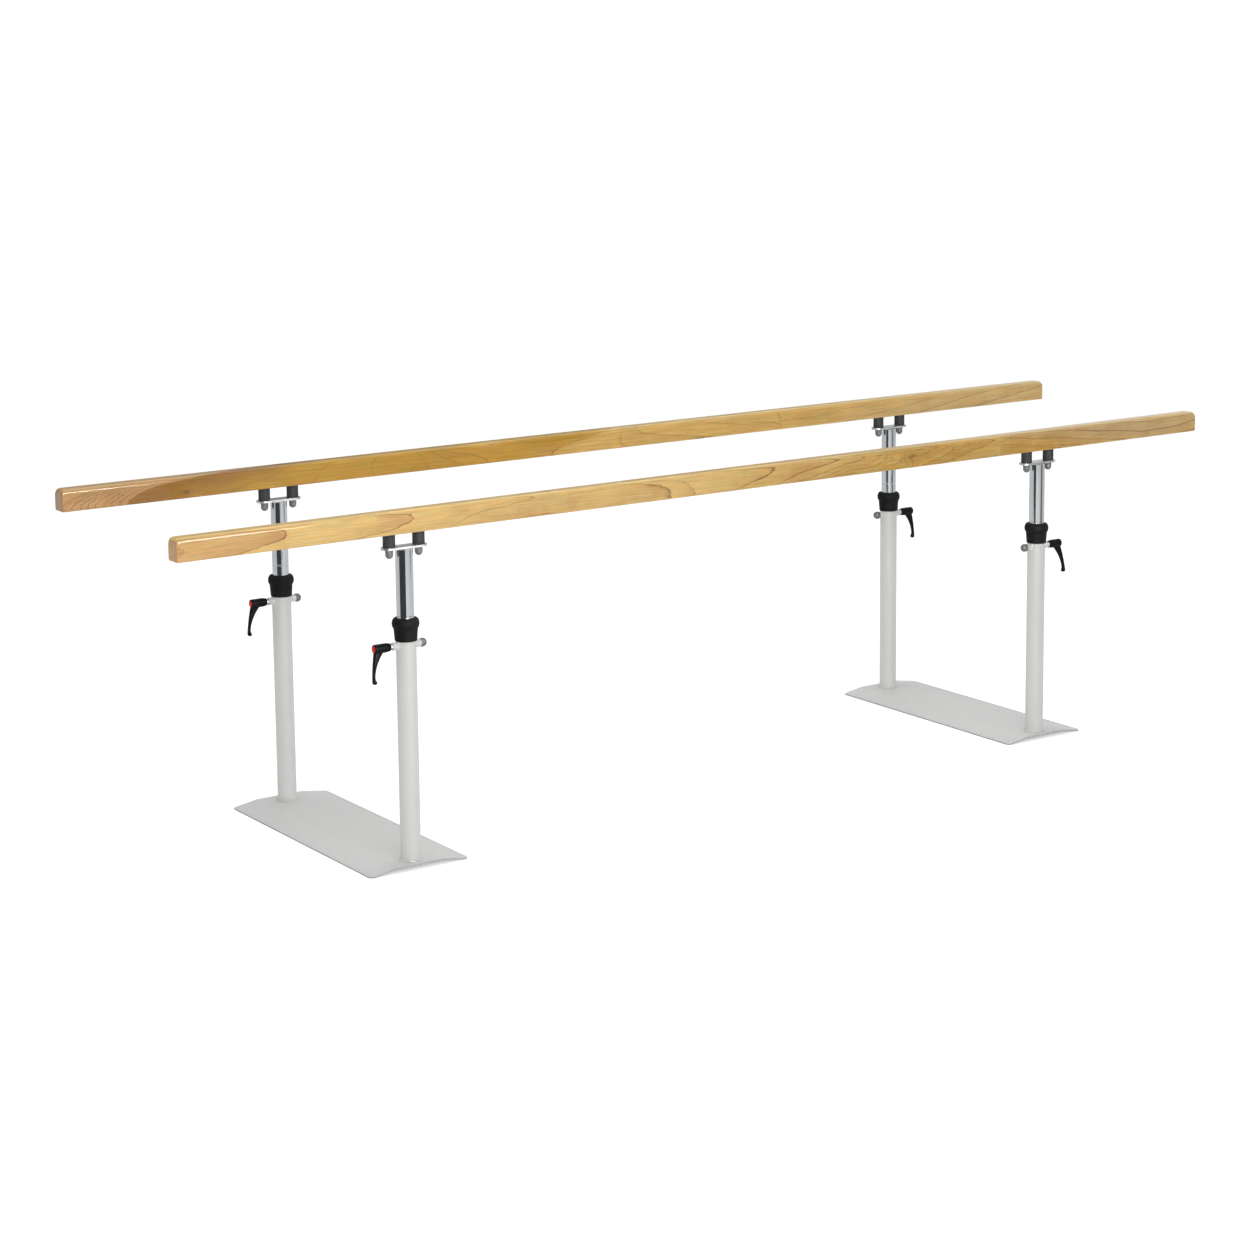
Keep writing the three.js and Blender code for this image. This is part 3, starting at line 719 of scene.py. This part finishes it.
def railForm(size, seed):
    half = size["length"] / 2
    ends = [0, 0.15, 0.6, 1.3, 2.2, 3.2, 4.4, 6, 8, 11]
    clear = ends[-1] + 1
    count = int((size["length"] - 2 * clear) / size["step"]) + 1
    middle = [-half + clear + index * size["step"] for index in range(count)]
    stations = [-half + left for left in ends] + middle + [half - left for left in reversed(ends)]
    upper, lower = size["topRadius"], size["footRadius"]
    longWave, shortWave = size["waves"]
    rings = []
    for x in stations:
        left = half - abs(x)
        foot = roundEnd(lower, left)
        top = size["height"] - roundEnd(size["endTopRadius"], left)
        wide = size["width"] / 2 - roundEnd(size["endRadius"], left)
        section = (arcPoints((wide - lower, foot + lower), lower, -90, 0, 5)
                   + [(wide, foot + (top - foot) * share) for share in size["sideEdges"]]
                   + arcPoints((wide - upper, top - upper), upper, 0, 90, 10)
                   + [(wide * size["topEdge"], top)])
        section += [(-y, z) for y, z in reversed(section)]
        inward = min(1, left / size["evenEnd"])
        ring = []
        for y, z in section:
            wave = noise.noise(Vector((x / longWave, y / shortWave + seed, z / shortWave))) * size["unevenness"]
            sunk = abs(wave) * inward if z > (top + foot) / 2 else 0
            ring.append((x, y - wave * inward * (y / wide), z - sunk))
        rings.append(ring)
    return lofted(rings)


for row, seed in (("near", 0), ("rear", 7)):
    place = Matrix.Translation(footOf(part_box(f"{row}_handrail"))) @ toMetres
    addPiece(f"{row}_handrail", railForm(handrail, seed), place, f"{row}Varnish", 40)
print("handrails shaped")

# Base plates: a folded sheet with rounded folds and eased edges
basePlate = {"length": 680, "width": 254, "flat": 122, "toe": 8, "rise": 9, "sheet": 3, "corner": 12,
             "foldRadius": 5, "edge": 0.8}


def basePlateForm(size):
    edge, toe, fold = size["width"] / 2, size["width"] / 2 - size["toe"], size["flat"] / 2
    rise, sheet, bend = size["rise"], size["sheet"], size["foldRadius"]
    under = [(-edge, 0), (-toe, 0), (-fold, rise), (fold, rise), (toe, 0), (edge, 0)]
    over = [(x, z + sheet) for x, z in reversed(under)]
    bends = [0, bend, bend, bend, bend, 0]
    section = softened(under, bends, 5) + softened(over, bends, 5)
    half = size["length"] / 2
    sheetForm = lofted([[(x, y, z) for x, z in section] for y in (-half, half)])
    corner = size["corner"]
    plan = []
    for centreX, centreY, start in ((edge, half, 0), (-edge, half, 90), (-edge, -half, 180), (edge, -half, 270)):
        centre = (centreX - math.copysign(corner, centreX), centreY - math.copysign(corner, centreY))
        plan += arcPoints(centre, corner, start, start + 90, 8)
    prism = lofted([[(x, y, z) for x, y in plan] for z in (-5, rise + sheet + 5)])
    return worked(sheetForm, combined("INTERSECT", prism),
                  ("BEVEL", {"width": size["edge"], "segments": 3, "angle_limit": math.radians(50)}))


plateForm = basePlateForm(basePlate)
for end in ("left", "right"):
    place = Matrix.Translation(footOf(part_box(f"{end}_base_plate"))) @ toMetres
    addPiece(f"{end}_base_plate", plateForm, place, "greyCoat")
print("base plates folded")

# Outer tubes with a rippled weld bead and two bosses that run into the tube
outerTube = {"radius": 23, "bore": 21.5, "foot": 12.3, "top": 545, "weldReach": 4.2, "weldRise": 4.4,
             "bossHeight": 505, "bossRadius": 9, "bossReach": 36, "flare": 3.4, "hole": 5.3, "groove": 7.2,
             "grooveDepth": 0.35}


def bossForm(size):
    # rings round the boss: those of the flare follow the tube's surface, those of the end are flat
    segments, radius, flare, reach = 72, size["bossRadius"], size["flare"], size["bossReach"]
    groove, depth = reach - size["groove"], size["grooveDepth"]
    flared = [(radius + flare, -0.8)]  # the first ring is sunk into the tube
    flared += [(radius + flare * (1 - math.sin(a)), flare * (1 - math.cos(a))) for a in quarterTurn(6, 0)]
    straight = softened([(radius, groove - 1), (radius, groove - 0.4), (radius - depth, groove),
                         (radius, groove + 0.4), (radius, reach), (size["hole"], reach), (size["hole"], reach - 9)],
                        [0, 0.2, 0.2, 0.2, 0.9, 0.5, 0], 3)
    rings = []
    for index, (ringRadius, rise) in enumerate(flared + straight):
        ring = []
        for step in range(segments):
            angle = math.tau * step / segments
            y, z = ringRadius * math.cos(angle), ringRadius * math.sin(angle)
            tube = math.sqrt(size["radius"] ** 2 - y ** 2) if index < len(flared) else 0
            ring.append((tube + rise, y, z))
        rings.append(ring)
    return lofted(rings, capped=False)


def outerTubeForm(size):
    radius, bore, foot, top = size["radius"], size["bore"], size["foot"], size["top"]
    reach, rise = size["weldReach"], size["weldRise"]
    points = [(bore, foot + 0.2), (radius, foot + 0.2), (radius, top), (bore, top), (bore, foot + 0.2)]
    wall = turned(softened(points, [0, 0, 0.5, 0.5, 0], 2)[:-1], 96)
    bead = [(radius - 1, foot), (radius + reach, foot + 0.1)]
    bead += [(radius + reach * (1 - math.sin(a)) ** 0.9 + 0.9 * math.sin(2 * a), foot + rise * math.sin(a) ** 1.1)
             for a in quarterTurn(7)[:-1]]
    bead += [(radius + 0.05, foot + rise), (radius - 1, foot + rise)]

    def ripple(index, angle):
        if index in (0, 1, len(bead) - 1):
            return 0
        wave = math.cos(34 * angle + 0.8 * math.sin(3 * angle)) * 0.22 + math.sin(5 * angle + 1) * 0.16
        return wave * math.sin(math.pi * (index - 1) / (len(bead) - 2))

    weld = turned(bead, 240, ripple)
    boss = moved(bossForm(size), shift(0, size["bossHeight"]))
    back = moved(boss, Matrix.Rotation(math.pi, 4, "Z"))
    return joined(wall, weld, boss, back)


tubeForm = outerTubeForm(outerTube)

# Top collars: a tapered skirt under a round rim
topCollar = {"bore": 23.3, "lip": 20.4, "foot": 515, "footWall": 1.5, "waist": 27.2, "waistHeight": 541.5,
             "rimCentre": 23, "rimReach": 8, "rimMiddle": 554, "rimRise": 13, "ledge": 547.8}


def topCollarForm(size):
    bore, lip, foot, ledge = size["bore"], size["lip"], size["foot"], size["ledge"]
    waist, waistHeight = size["waist"], size["waistHeight"]
    skirt, skirtFoot = bore + size["footWall"] + 0.35, foot + 0.9
    outline = [(bore, foot + 0.5), (bore + 0.4, foot), (skirt - 0.35, foot + 0.1), (skirt, skirtFoot)]
    for step in range(1, 9):
        t = step / 8
        outline.append((skirt + (waist - skirt) * t ** 0.9, skirtFoot + (waistHeight - skirtFoot) * t))
    outline += [(waist - 0.25, waistHeight + 0.6), (waist - 0.2, waistHeight + 1.1)]  # shadow groove
    outline += [(size["rimCentre"] + size["rimReach"] * x, size["rimMiddle"] + size["rimRise"] * z)
                for x, z in arcPoints((0, 0), 1, -62, 88, 26)]
    top = size["rimMiddle"] + size["rimRise"]
    outline += [(lip + 1.2, top - 0.05), (lip + 0.3, top - 0.5), (lip, top - 1.4), (lip, ledge), (bore, ledge)]
    return turned(outline, 96)


collarForm = topCollarForm(topCollar)

# Clamp caps on the inboard bosses
clampCap = {"start": 36.3, "radius": 10.1, "skirt": 6, "dome": 9, "shank": 5, "nose": 20.3, "height": 505}


def clampCapForm(size):
    start, radius, skirt = size["start"], size["radius"], size["skirt"]
    profile = [(0, size["nose"]), (size["shank"] - 0.6, size["nose"]), (size["shank"], size["nose"] + 0.6),
               (size["shank"], start)]
    profile += softened([(size["shank"], start), (radius - 0.35, start), (radius, start + 1.4),
                         (radius, start + skirt)], [0, 0.5, 0.8, 0], 3)[1:]
    profile += [(radius * math.cos(a), start + skirt + size["dome"] * math.sin(a)) for a in quarterTurn(14)]
    return moved(turned(profile, 64), shift(0, size["height"]) @ alongX.inverted())


capForm = clampCapForm(clampCap)

# Clamp screws, levers and buttons are drawn round the screw's axis
clampScrew = {"nose": 20.3, "shank": 5, "flangeStart": 36.3, "flange": 7.5, "flangeLength": 5, "groove": 2.6,
              "head": 6.25, "headLength": 14, "teeth": 18, "toothDepth": 0.35}


def clampScrewForm(size):
    start, stop = size["flangeStart"], size["flangeStart"] + size["flangeLength"]
    shank, flange, head, groove = size["shank"], size["flange"], size["head"], start + size["groove"]
    profile = softened([(0, size["nose"]), (shank, size["nose"]), (shank, start), (flange, start),
                        (flange, groove - 0.4), (flange - 0.5, groove), (flange, groove + 0.4), (flange, stop),
                        (head, stop), (head, stop + size["headLength"]), (0, stop + size["headLength"])],
                       [0, 0.8, 0, 0.5, 0.2, 0.2, 0.2, 0.5, 0, 0.8, 0], 3)
    headAt = [index for index, (x, z) in enumerate(profile) if z > stop + 0.5 and x > head - 1]

    def toothed(index, angle):
        return -size["toothDepth"] * max(0, math.cos(size["teeth"] * angle)) if index in headAt else 0

    return moved(turned(profile, 72, toothed), alongX)


screwForm = clampScrewForm(clampScrew)

clampLever = {"start": 41.6, "hubLength": 41, "hub": 10.5, "neck": 8.4, "neckLength": 10, "elbow": 2.8,
              "reach": 78, "root": 23, "waist": 6.5, "tip": 10.5, "tipRound": 5.5, "thickness": 12, "thinning": 0.7,
              "thinAt": 58, "squareness": 0.72, "lean": 9.5, "rootShare": 0.85, "bendShare": 0.44, "ribs": 4,
              "ribStart": 1.4, "ribStep": 1.9, "bore": 7.85, "boreDepth": 11.3, "headBore": 6.55,
              "headDepth": 14.3, "voxel": 0.5}


def bowed(start, control, stop, steps, first=0):
    # points of a quadratic curve
    shares = [step / steps for step in range(first, steps + 1)]
    return [tuple(a * (1 - t) ** 2 + 2 * b * t * (1 - t) + c * t ** 2 for a, b, c in zip(start, control, stop))
            for t in shares]


def widthAt(curve, z):
    # x of a curve that runs downwards, at height z
    for (x1, z1), (x2, z2) in zip(curve, curve[1:]):
        if z1 >= z >= z2 and z1 > z2:
            return x1 + (x2 - x1) * (z1 - z) / (z1 - z2)
    return curve[-1][0]


def leverForm(size):
    start, hubEnd, hub, bottom = size["start"], size["start"] + size["hubLength"], size["hub"], -size["reach"]
    tipRadius = size["tip"] / 2
    tipX, tipZ = hubEnd + size["lean"] - tipRadius, tipRadius - size["reach"]
    waistX, waistZ = tipX + tipRadius - size["waist"], tipZ + size["tip"]
    outer = bowed((hubEnd - size["elbow"], 0), (hubEnd + size["elbow"], -hub), (tipX + tipRadius, tipZ), 24)
    outer += [(tipX + tipRadius * math.cos(a), tipZ - tipRadius * math.sin(a)) for a in quarterTurn(12)]
    root = (hubEnd - size["root"], -hub * size["rootShare"])
    inner = [(root[0] - 4, 0), root]
    inner += bowed(root, (hubEnd, bottom * size["bendShare"]), (waistX, waistZ), 20, 1)
    inner += bowed((waistX, waistZ), (waistX, tipZ + tipRadius * 0.9), (tipX - tipRadius, tipZ - 0.4), 8, 1)
    inner += [(tipX - tipRadius * math.cos(a), tipZ - 0.4 - (tipRadius - 0.4) * math.sin(a)) for a in quarterTurn(12)]
    rings = []
    heights = [-step * 1.5 for step in range(48)]
    heights += [bottom + left for left in (5, 4, 3, 2.2, 1.5, 0.9, 0.45, 0.15, 0.02)]
    for z in heights:
        inside, outside = widthAt(inner, z), widthAt(outer, z)
        wide = max(0.05, (outside - inside) / 2)
        centre = (inside + outside) / 2
        half = size["thickness"] / 2 - size["thinning"] * math.exp(-((z + size["thinAt"]) / 14) ** 2)
        toTip, rounding = z - bottom, size["tipRound"]
        if toTip < rounding:
            half *= math.sqrt(max(0, 1 - ((rounding - toTip) / rounding) ** 2.2))
        half = max(0.05, half)
        ring = []
        for step in range(40):
            angle = math.tau * step / 40
            u, v = (math.copysign(abs(share) ** size["squareness"], share)
                    for share in (math.cos(angle), math.sin(angle)))
            ring.append((centre + wide * u, half * v, z))
        rings.append(ring)
    neck, neckEnd = size["neck"], start + size["neckLength"]
    profile = [(0, start), (neck, start), (hub, neckEnd), (hub, hubEnd), (0, hubEnd)]
    hubForm = moved(turned(softened(profile, [0, 0.6, 7, size["elbow"], 0], 6), 72), alongX)
    buttonBore = moved(rod(size["bore"], hubEnd - size["boreDepth"], hubEnd + 20, 64), alongX)
    headBore = moved(rod(size["headBore"], start - 2, start + size["headDepth"], 48), alongX)
    solid = worked(hubForm, combined("UNION", lofted(rings)),
                   ("REMESH", {"mode": "VOXEL", "voxel_size": size["voxel"]}),
                   ("SMOOTH", {"factor": 0.5, "iterations": 7}),
                   combined("DIFFERENCE", buttonBore), combined("DIFFERENCE", headBore))
    ribs = []
    for index in range(size["ribs"]):
        at = start + size["ribStart"] + index * size["ribStep"]
        radius = neck + (at - start) / size["neckLength"] * (hub - neck) * 0.75 + 0.1
        ring = softened([(radius - 1.6, at - 0.7), (radius + 0.35, at - 0.45), (radius + 0.35, at + 0.45),
                         (radius - 1.6, at + 0.7)], [0, 0.3, 0.3, 0], 2)
        ribs.append(moved(turned(ring, 64), alongX))
    return joined(solid, *ribs)


armForm = leverForm(clampLever)
print("lever shaped:", len(armForm.polygons), "faces")

leverButton = {"end": 82.6, "radius": 7.5, "depth": 8, "side": 7.1, "dome": 1.8}


def leverButtonForm(size):
    radius, start = size["radius"], size["end"] - size["depth"]
    shoulder, rise = start + size["side"], size["dome"] + size["depth"] - size["side"]
    profile = [(0, start), (radius - 0.3, start), (radius, start + 0.4), (radius, shoulder)]
    profile += [(radius * math.cos(a) ** 0.8, shoulder + rise * math.sin(a)) for a in quarterTurn(12)]
    profile[-1] = (0, shoulder + rise)
    return moved(turned(profile, 64), alongX)


redForm = leverButtonForm(leverButton)

# Sliding tubes, head plates, buffers and cap nuts are drawn from the head plate's underside
innerTube = {"radius": 20, "bore": 18.5, "top": -0.3, "mark": 154, "markWidth": 2, "markDepth": 0.4, "weld": 1.6}


def innerTubeForm(size, length):
    radius, bore, top, mark, weld = size["radius"], size["bore"], size["top"], -size["mark"], size["weld"]
    wide, markFloor = size["markWidth"], radius - size["markDepth"]
    points = [(bore, top), (bore, -length), (radius, -length), (radius, mark - wide), (markFloor, mark - wide / 2),
              (markFloor, mark + wide / 2), (radius, mark + wide), (radius, top - weld), (radius + weld, top - 0.05),
              (bore, top)]
    radii = [0, 0.3, 0.5, 0.3, 0.2, 0.2, 0.3, 0.6, 0.3, 0]
    return turned(softened(points, radii, 3)[:-1], 96)


headPlate = {"length": 114, "width": 34, "sheet": 5, "edge": 1.1, "spacing": 75, "hole": 4.3}


def headPlateForm(size):
    half = size["width"] / 2
    middle = size["length"] / 2 - half
    outline = softened([(half - 1, 0), (half, 0), (half, size["sheet"]), (half - 1, size["sheet"])],
                       [0, size["edge"], size["edge"], 0], 4)
    rings = []
    for inset, height in outline:
        plan = arcPoints((middle, 0), inset, -90, 90, 28) + arcPoints((-middle, 0), inset, 90, 270, 28)
        rings.append([(x, y, height) for x, y in plan])
    drill = rod(size["hole"], -2, size["sheet"] + 2, 32)
    return worked(lofted(rings), *(combined("DIFFERENCE", moved(drill, shift(side * size["spacing"] / 2, 0)))
                                   for side in (-1, 1)))


rubberBuffer = {"radius": 14, "foot": 5.3, "top": 34.7, "edge": 1.6, "seam": 3.5, "stud": 4, "studFoot": -13,
                "studTop": 54.7}


def bufferForm(size):
    radius, foot, top, stud, seam = size["radius"], size["foot"], size["top"], size["stud"], size["seam"]
    rim = [(radius - 0.5, 0), (radius, 1.2), (radius, seam - 0.5), (radius - 0.3, seam), (radius, seam + 0.5)]
    points = [(0, size["studFoot"]), (stud, size["studFoot"]), (stud, foot)]
    points += [(x, foot + inward) for x, inward in rim] + [(radius - 0.15, (foot + top) / 2)]
    points += [(x, top - inward) for x, inward in reversed(rim)]
    points += [(stud, top), (stud, size["studTop"]), (0, size["studTop"])]
    radii = [0, 0.6, 0.3, size["edge"], size["edge"], 0.2, 0.2, 0.2]
    return turned(softened(points, radii + [0] + radii[::-1], 4), 72)


capNut = {"radius": 9.25, "height": 20.7, "drop": 0.3, "thread": 4.3, "threadDepth": 12.7, "flange": 2.4}


def capNutForm(size):
    radius, face, thread = size["radius"], -size["drop"], size["thread"]
    body, flange, threadEnd = radius - 0.45, face - size["flange"], face - size["threadDepth"]
    dome = [(body * math.sin(a), face - size["height"] + body * 1.05 * (1 - math.cos(a))) for a in quarterTurn(12, 0)]
    rim = softened([(body, flange - 3), (body, flange - 0.4), (radius, flange), (radius, face), (thread, face)],
                   [0, 0.6, 0.5, 0.6, 0], 3)
    return turned(dome + rim[1:] + [(thread, threadEnd), (0, threadEnd)], 64)


headForm = headPlateForm(headPlate)
rubberForm = bufferForm(rubberBuffer)
nutForm = capNutForm(capNut)
leverTurn = {"near": 8, "rear": 0}  # degrees, as the arms hang in the part

for post, place in postPlaces.items():
    row, end = post.split("_")
    side = -1 if row == "near" else 1
    outward = 1 if end == "right" else -1
    swing = Matrix.Rotation(math.radians(side * outward * leverTurn[row]), 4, "X")
    clamp = place @ shift(0, clampCap["height"]) @ swing
    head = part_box(f"{post}_head_plate")[0][2] * 1000
    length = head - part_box(f"{post}_inner_tube")[0][2] * 1000
    top = place @ shift(0, head)
    pieces = [
        ("outer_tube", tubeForm, place, "whiteCoat"), ("top_collar", collarForm, place, "collarBlack", 40),
        ("clamp_cap", capForm, place, "capGrey"), ("clamp_screw", screwForm, clamp, "screwSteel"),
        ("clamp_lever", armForm, clamp, "leverBlack"), ("lever_button", redForm, clamp, "buttonRed"),
        ("inner_tube", innerTubeForm(innerTube, length), top, "chrome"),
        ("head_plate", headForm, top, "plateSteel", 40),
    ]
    for name, offset in (("outboard", headPlate["spacing"] / 2), ("inboard", -headPlate["spacing"] / 2)):
        pieces += [(f"{name}_buffer", rubberForm, top @ shift(offset, 0), "bufferGrey"),
                   (f"{name}_cap_nut", nutForm, top @ shift(offset, 0), "capGrey")]
    for name, *settings in pieces:
        addPiece(f"{post}_{name}", *settings)
    for name in ("guide_sleeve", "slider_plug"):
        for slot in frame["nodes"][f"{post}_{name}"].material_slots:
            slot.material = finishes["guideWhite"]
print("posts dressed:", len(postPlaces))

for mesh in list(bpy.data.meshes):
    if mesh.users == 0:
        bpy.data.meshes.remove(mesh)

# Floor: pale, keeps the shadow, and runs out into the white backdrop
floor = {"half": 60.0, "tone": 0.8, "lift": 0.42, "near": 3.0, "far": 7.0, "drop": -0.0002}
fourCorners = ((-1, -1), (1, -1), (1, 1), (-1, 1))


def stagePiece(name, corners):
    # a sheet with an empty material, and the socket for that material's shader
    piece = linked(name, sheetOf(corners))
    material = bpy.data.materials.new(name)
    material.use_nodes = True
    tree = material.node_tree
    tree.nodes.remove(tree.nodes["Principled BSDF"])
    piece.data.materials.append(material)
    return piece, tree, tree.nodes["Material Output"].inputs["Surface"]


def seenIn(tree):
    # 1 where the camera, a reflection or a clear body shows it, 0 where it only lights other things
    rays = signalsOf(tree, tree.nodes.new("ShaderNodeLightPath").outputs)
    return calc("ADD", rays["Is Camera Ray"] + rays["Is Glossy Ray"], rays["Is Transmission Ray"], clamped=True)


floorPiece, tree, surface = stagePiece(
    "studioFloor", [(x * floor["half"], y * floor["half"], floor["drop"]) for x, y in fourCorners])
seen = seenIn(tree)
paint = nodeOf("BsdfDiffuse", {"Color": (floor["tone"], floor["tone"], floor["tone"], 1)}, tree=tree)
lit = nodeOf("AddShader", {0: paint, 1: nodeOf("Emission", {"Strength": seen * floor["lift"]})})
white = nodeOf("Emission", {"Strength": remap(seen, 0.0, 1.0, 0.5, 1.0)})
x, y, _ = geometryOf(tree, "Position")
span = calc("SQRT", x * x + y * y)
wire(nodeOf("MixShader", {0: remap(span, floor["near"], floor["far"]), 1: lit, 2: white}), surface)

# Soft studio light
studio = {"ambient": 0.62}
world = bpy.data.worlds.new("studio")
bpy.context.scene.world = world
world.use_nodes = True
background = world.node_tree.nodes["Background"]
background.inputs["Color"].default_value = (1, 1, 1, 1)
wire(remap(seenIn(world.node_tree), 0.0, 1.0, studio["ambient"], 1.0, smooth=False), background.inputs["Strength"])

softBoxes = {
    "keyBox": {"at": (-1.6, -3.9, 2.1), "towards": (0.1, 0, 0.6), "size": (3.6, 1.3), "power": 60},
    "backBox": {"at": (3.2, 4.4, 3.6), "towards": (0, 0, 0.6), "size": (3.2, 1.6), "power": 28},
    "topBox": {"at": (0.2, 0.6, 4.6), "towards": (0, 0, 0), "size": (4.5, 2.0), "power": 58},
}
for name, box in softBoxes.items():
    lamp = bpy.data.lights.new(name, "AREA")
    lamp.shape = "RECTANGLE"
    lamp.size, lamp.size_y = box["size"]
    lamp.energy = box["power"]
    holder = linked(name, lamp)
    holder.location = box["at"]
    aim = Vector(box["towards"]) - Vector(box["at"])
    holder.rotation_euler = aim.to_track_quat("-Z", "Y").to_euler()

# Cards that only reflections show, as a photographer sets them beside the table.
# A card's tone runs from the first to the second value between two places along X.
cards = {
    "leftCard": {"centre": (-1.99, -0.99, 0.75), "half": (1.05, 0.75), "facing": (0.806, 0.534),
                 "tones": (0.09, 0.09), "between": (-3, 3)},
    "rightCard": {"centre": (1.98, -2.1, 0.5), "half": (0.55, 0.5), "facing": (-0.5, 0.86),
                  "tones": (0.32, 0.32), "between": (-3, 3)},
    "backCard": {"centre": (2.4, 3.6, 1.6), "half": (5.2, 1.3), "facing": (0, -1),
                 "tones": (0.24, 0.85), "between": (2.8, 5.2)},
    "brightCard": {"centre": (-1.1, -3.6, 1.6), "half": (1.75, 0.6), "facing": (0, 1),
                   "tones": (30.0, 0.0), "between": (0.3, 0.62)},
}
for name, card in cards.items():
    ahead = Vector((*card["facing"], 0)).normalized()
    across = Vector((-ahead.y, ahead.x, 0)) * card["half"][0]
    upright = Vector((0, 0, card["half"][1]))
    corners = [Vector(card["centre"]) + across * u + upright * v for u, v in fourCorners]
    panel, tree, surface = stagePiece(name, corners)
    tone = remap(geometryOf(tree, "Position")[0], *card["between"], *card["tones"])
    wire(nodeOf("Emission", {"Strength": tone}), surface)
    for ray in ("camera", "diffuse", "shadow", "transmission"):
        setattr(panel, f"visible_{ray}", False)
print("studio lit")

# Camera, as in the photograph
camera = {"at": (-3.8879, -5.4741, 1.8709), "yaw": 34.358, "pitch": 8.681, "roll": 0.592, "lens": 78.79,
          "sensor": 36, "shiftY": -0.15, "farthest": 300}
yaw, pitch, roll = (math.radians(camera[key]) for key in ("yaw", "pitch", "roll"))
ahead = Vector((math.cos(pitch) * math.sin(yaw), math.cos(pitch) * math.cos(yaw), -math.sin(pitch)))
right = Vector((math.cos(yaw), -math.sin(yaw), 0))
down = ahead.cross(right)
tiltedRight = right * math.cos(roll) + down * math.sin(roll)
tiltedDown = down * math.cos(roll) - right * math.sin(roll)
lens = bpy.data.cameras.new("photoCamera")
lens.lens = camera["lens"]
lens.sensor_width = camera["sensor"]
lens.shift_y = camera["shiftY"]
lens.clip_end = camera["farthest"]
viewer = linked("photoCamera", lens)
facing = Matrix((tiltedRight, -tiltedDown, -ahead)).transposed().to_4x4()
viewer.matrix_world = Matrix.Translation(camera["at"]) @ facing
bpy.context.scene.camera = viewer
bpy.context.scene.view_settings.view_transform = "Standard"

print("scene complete")
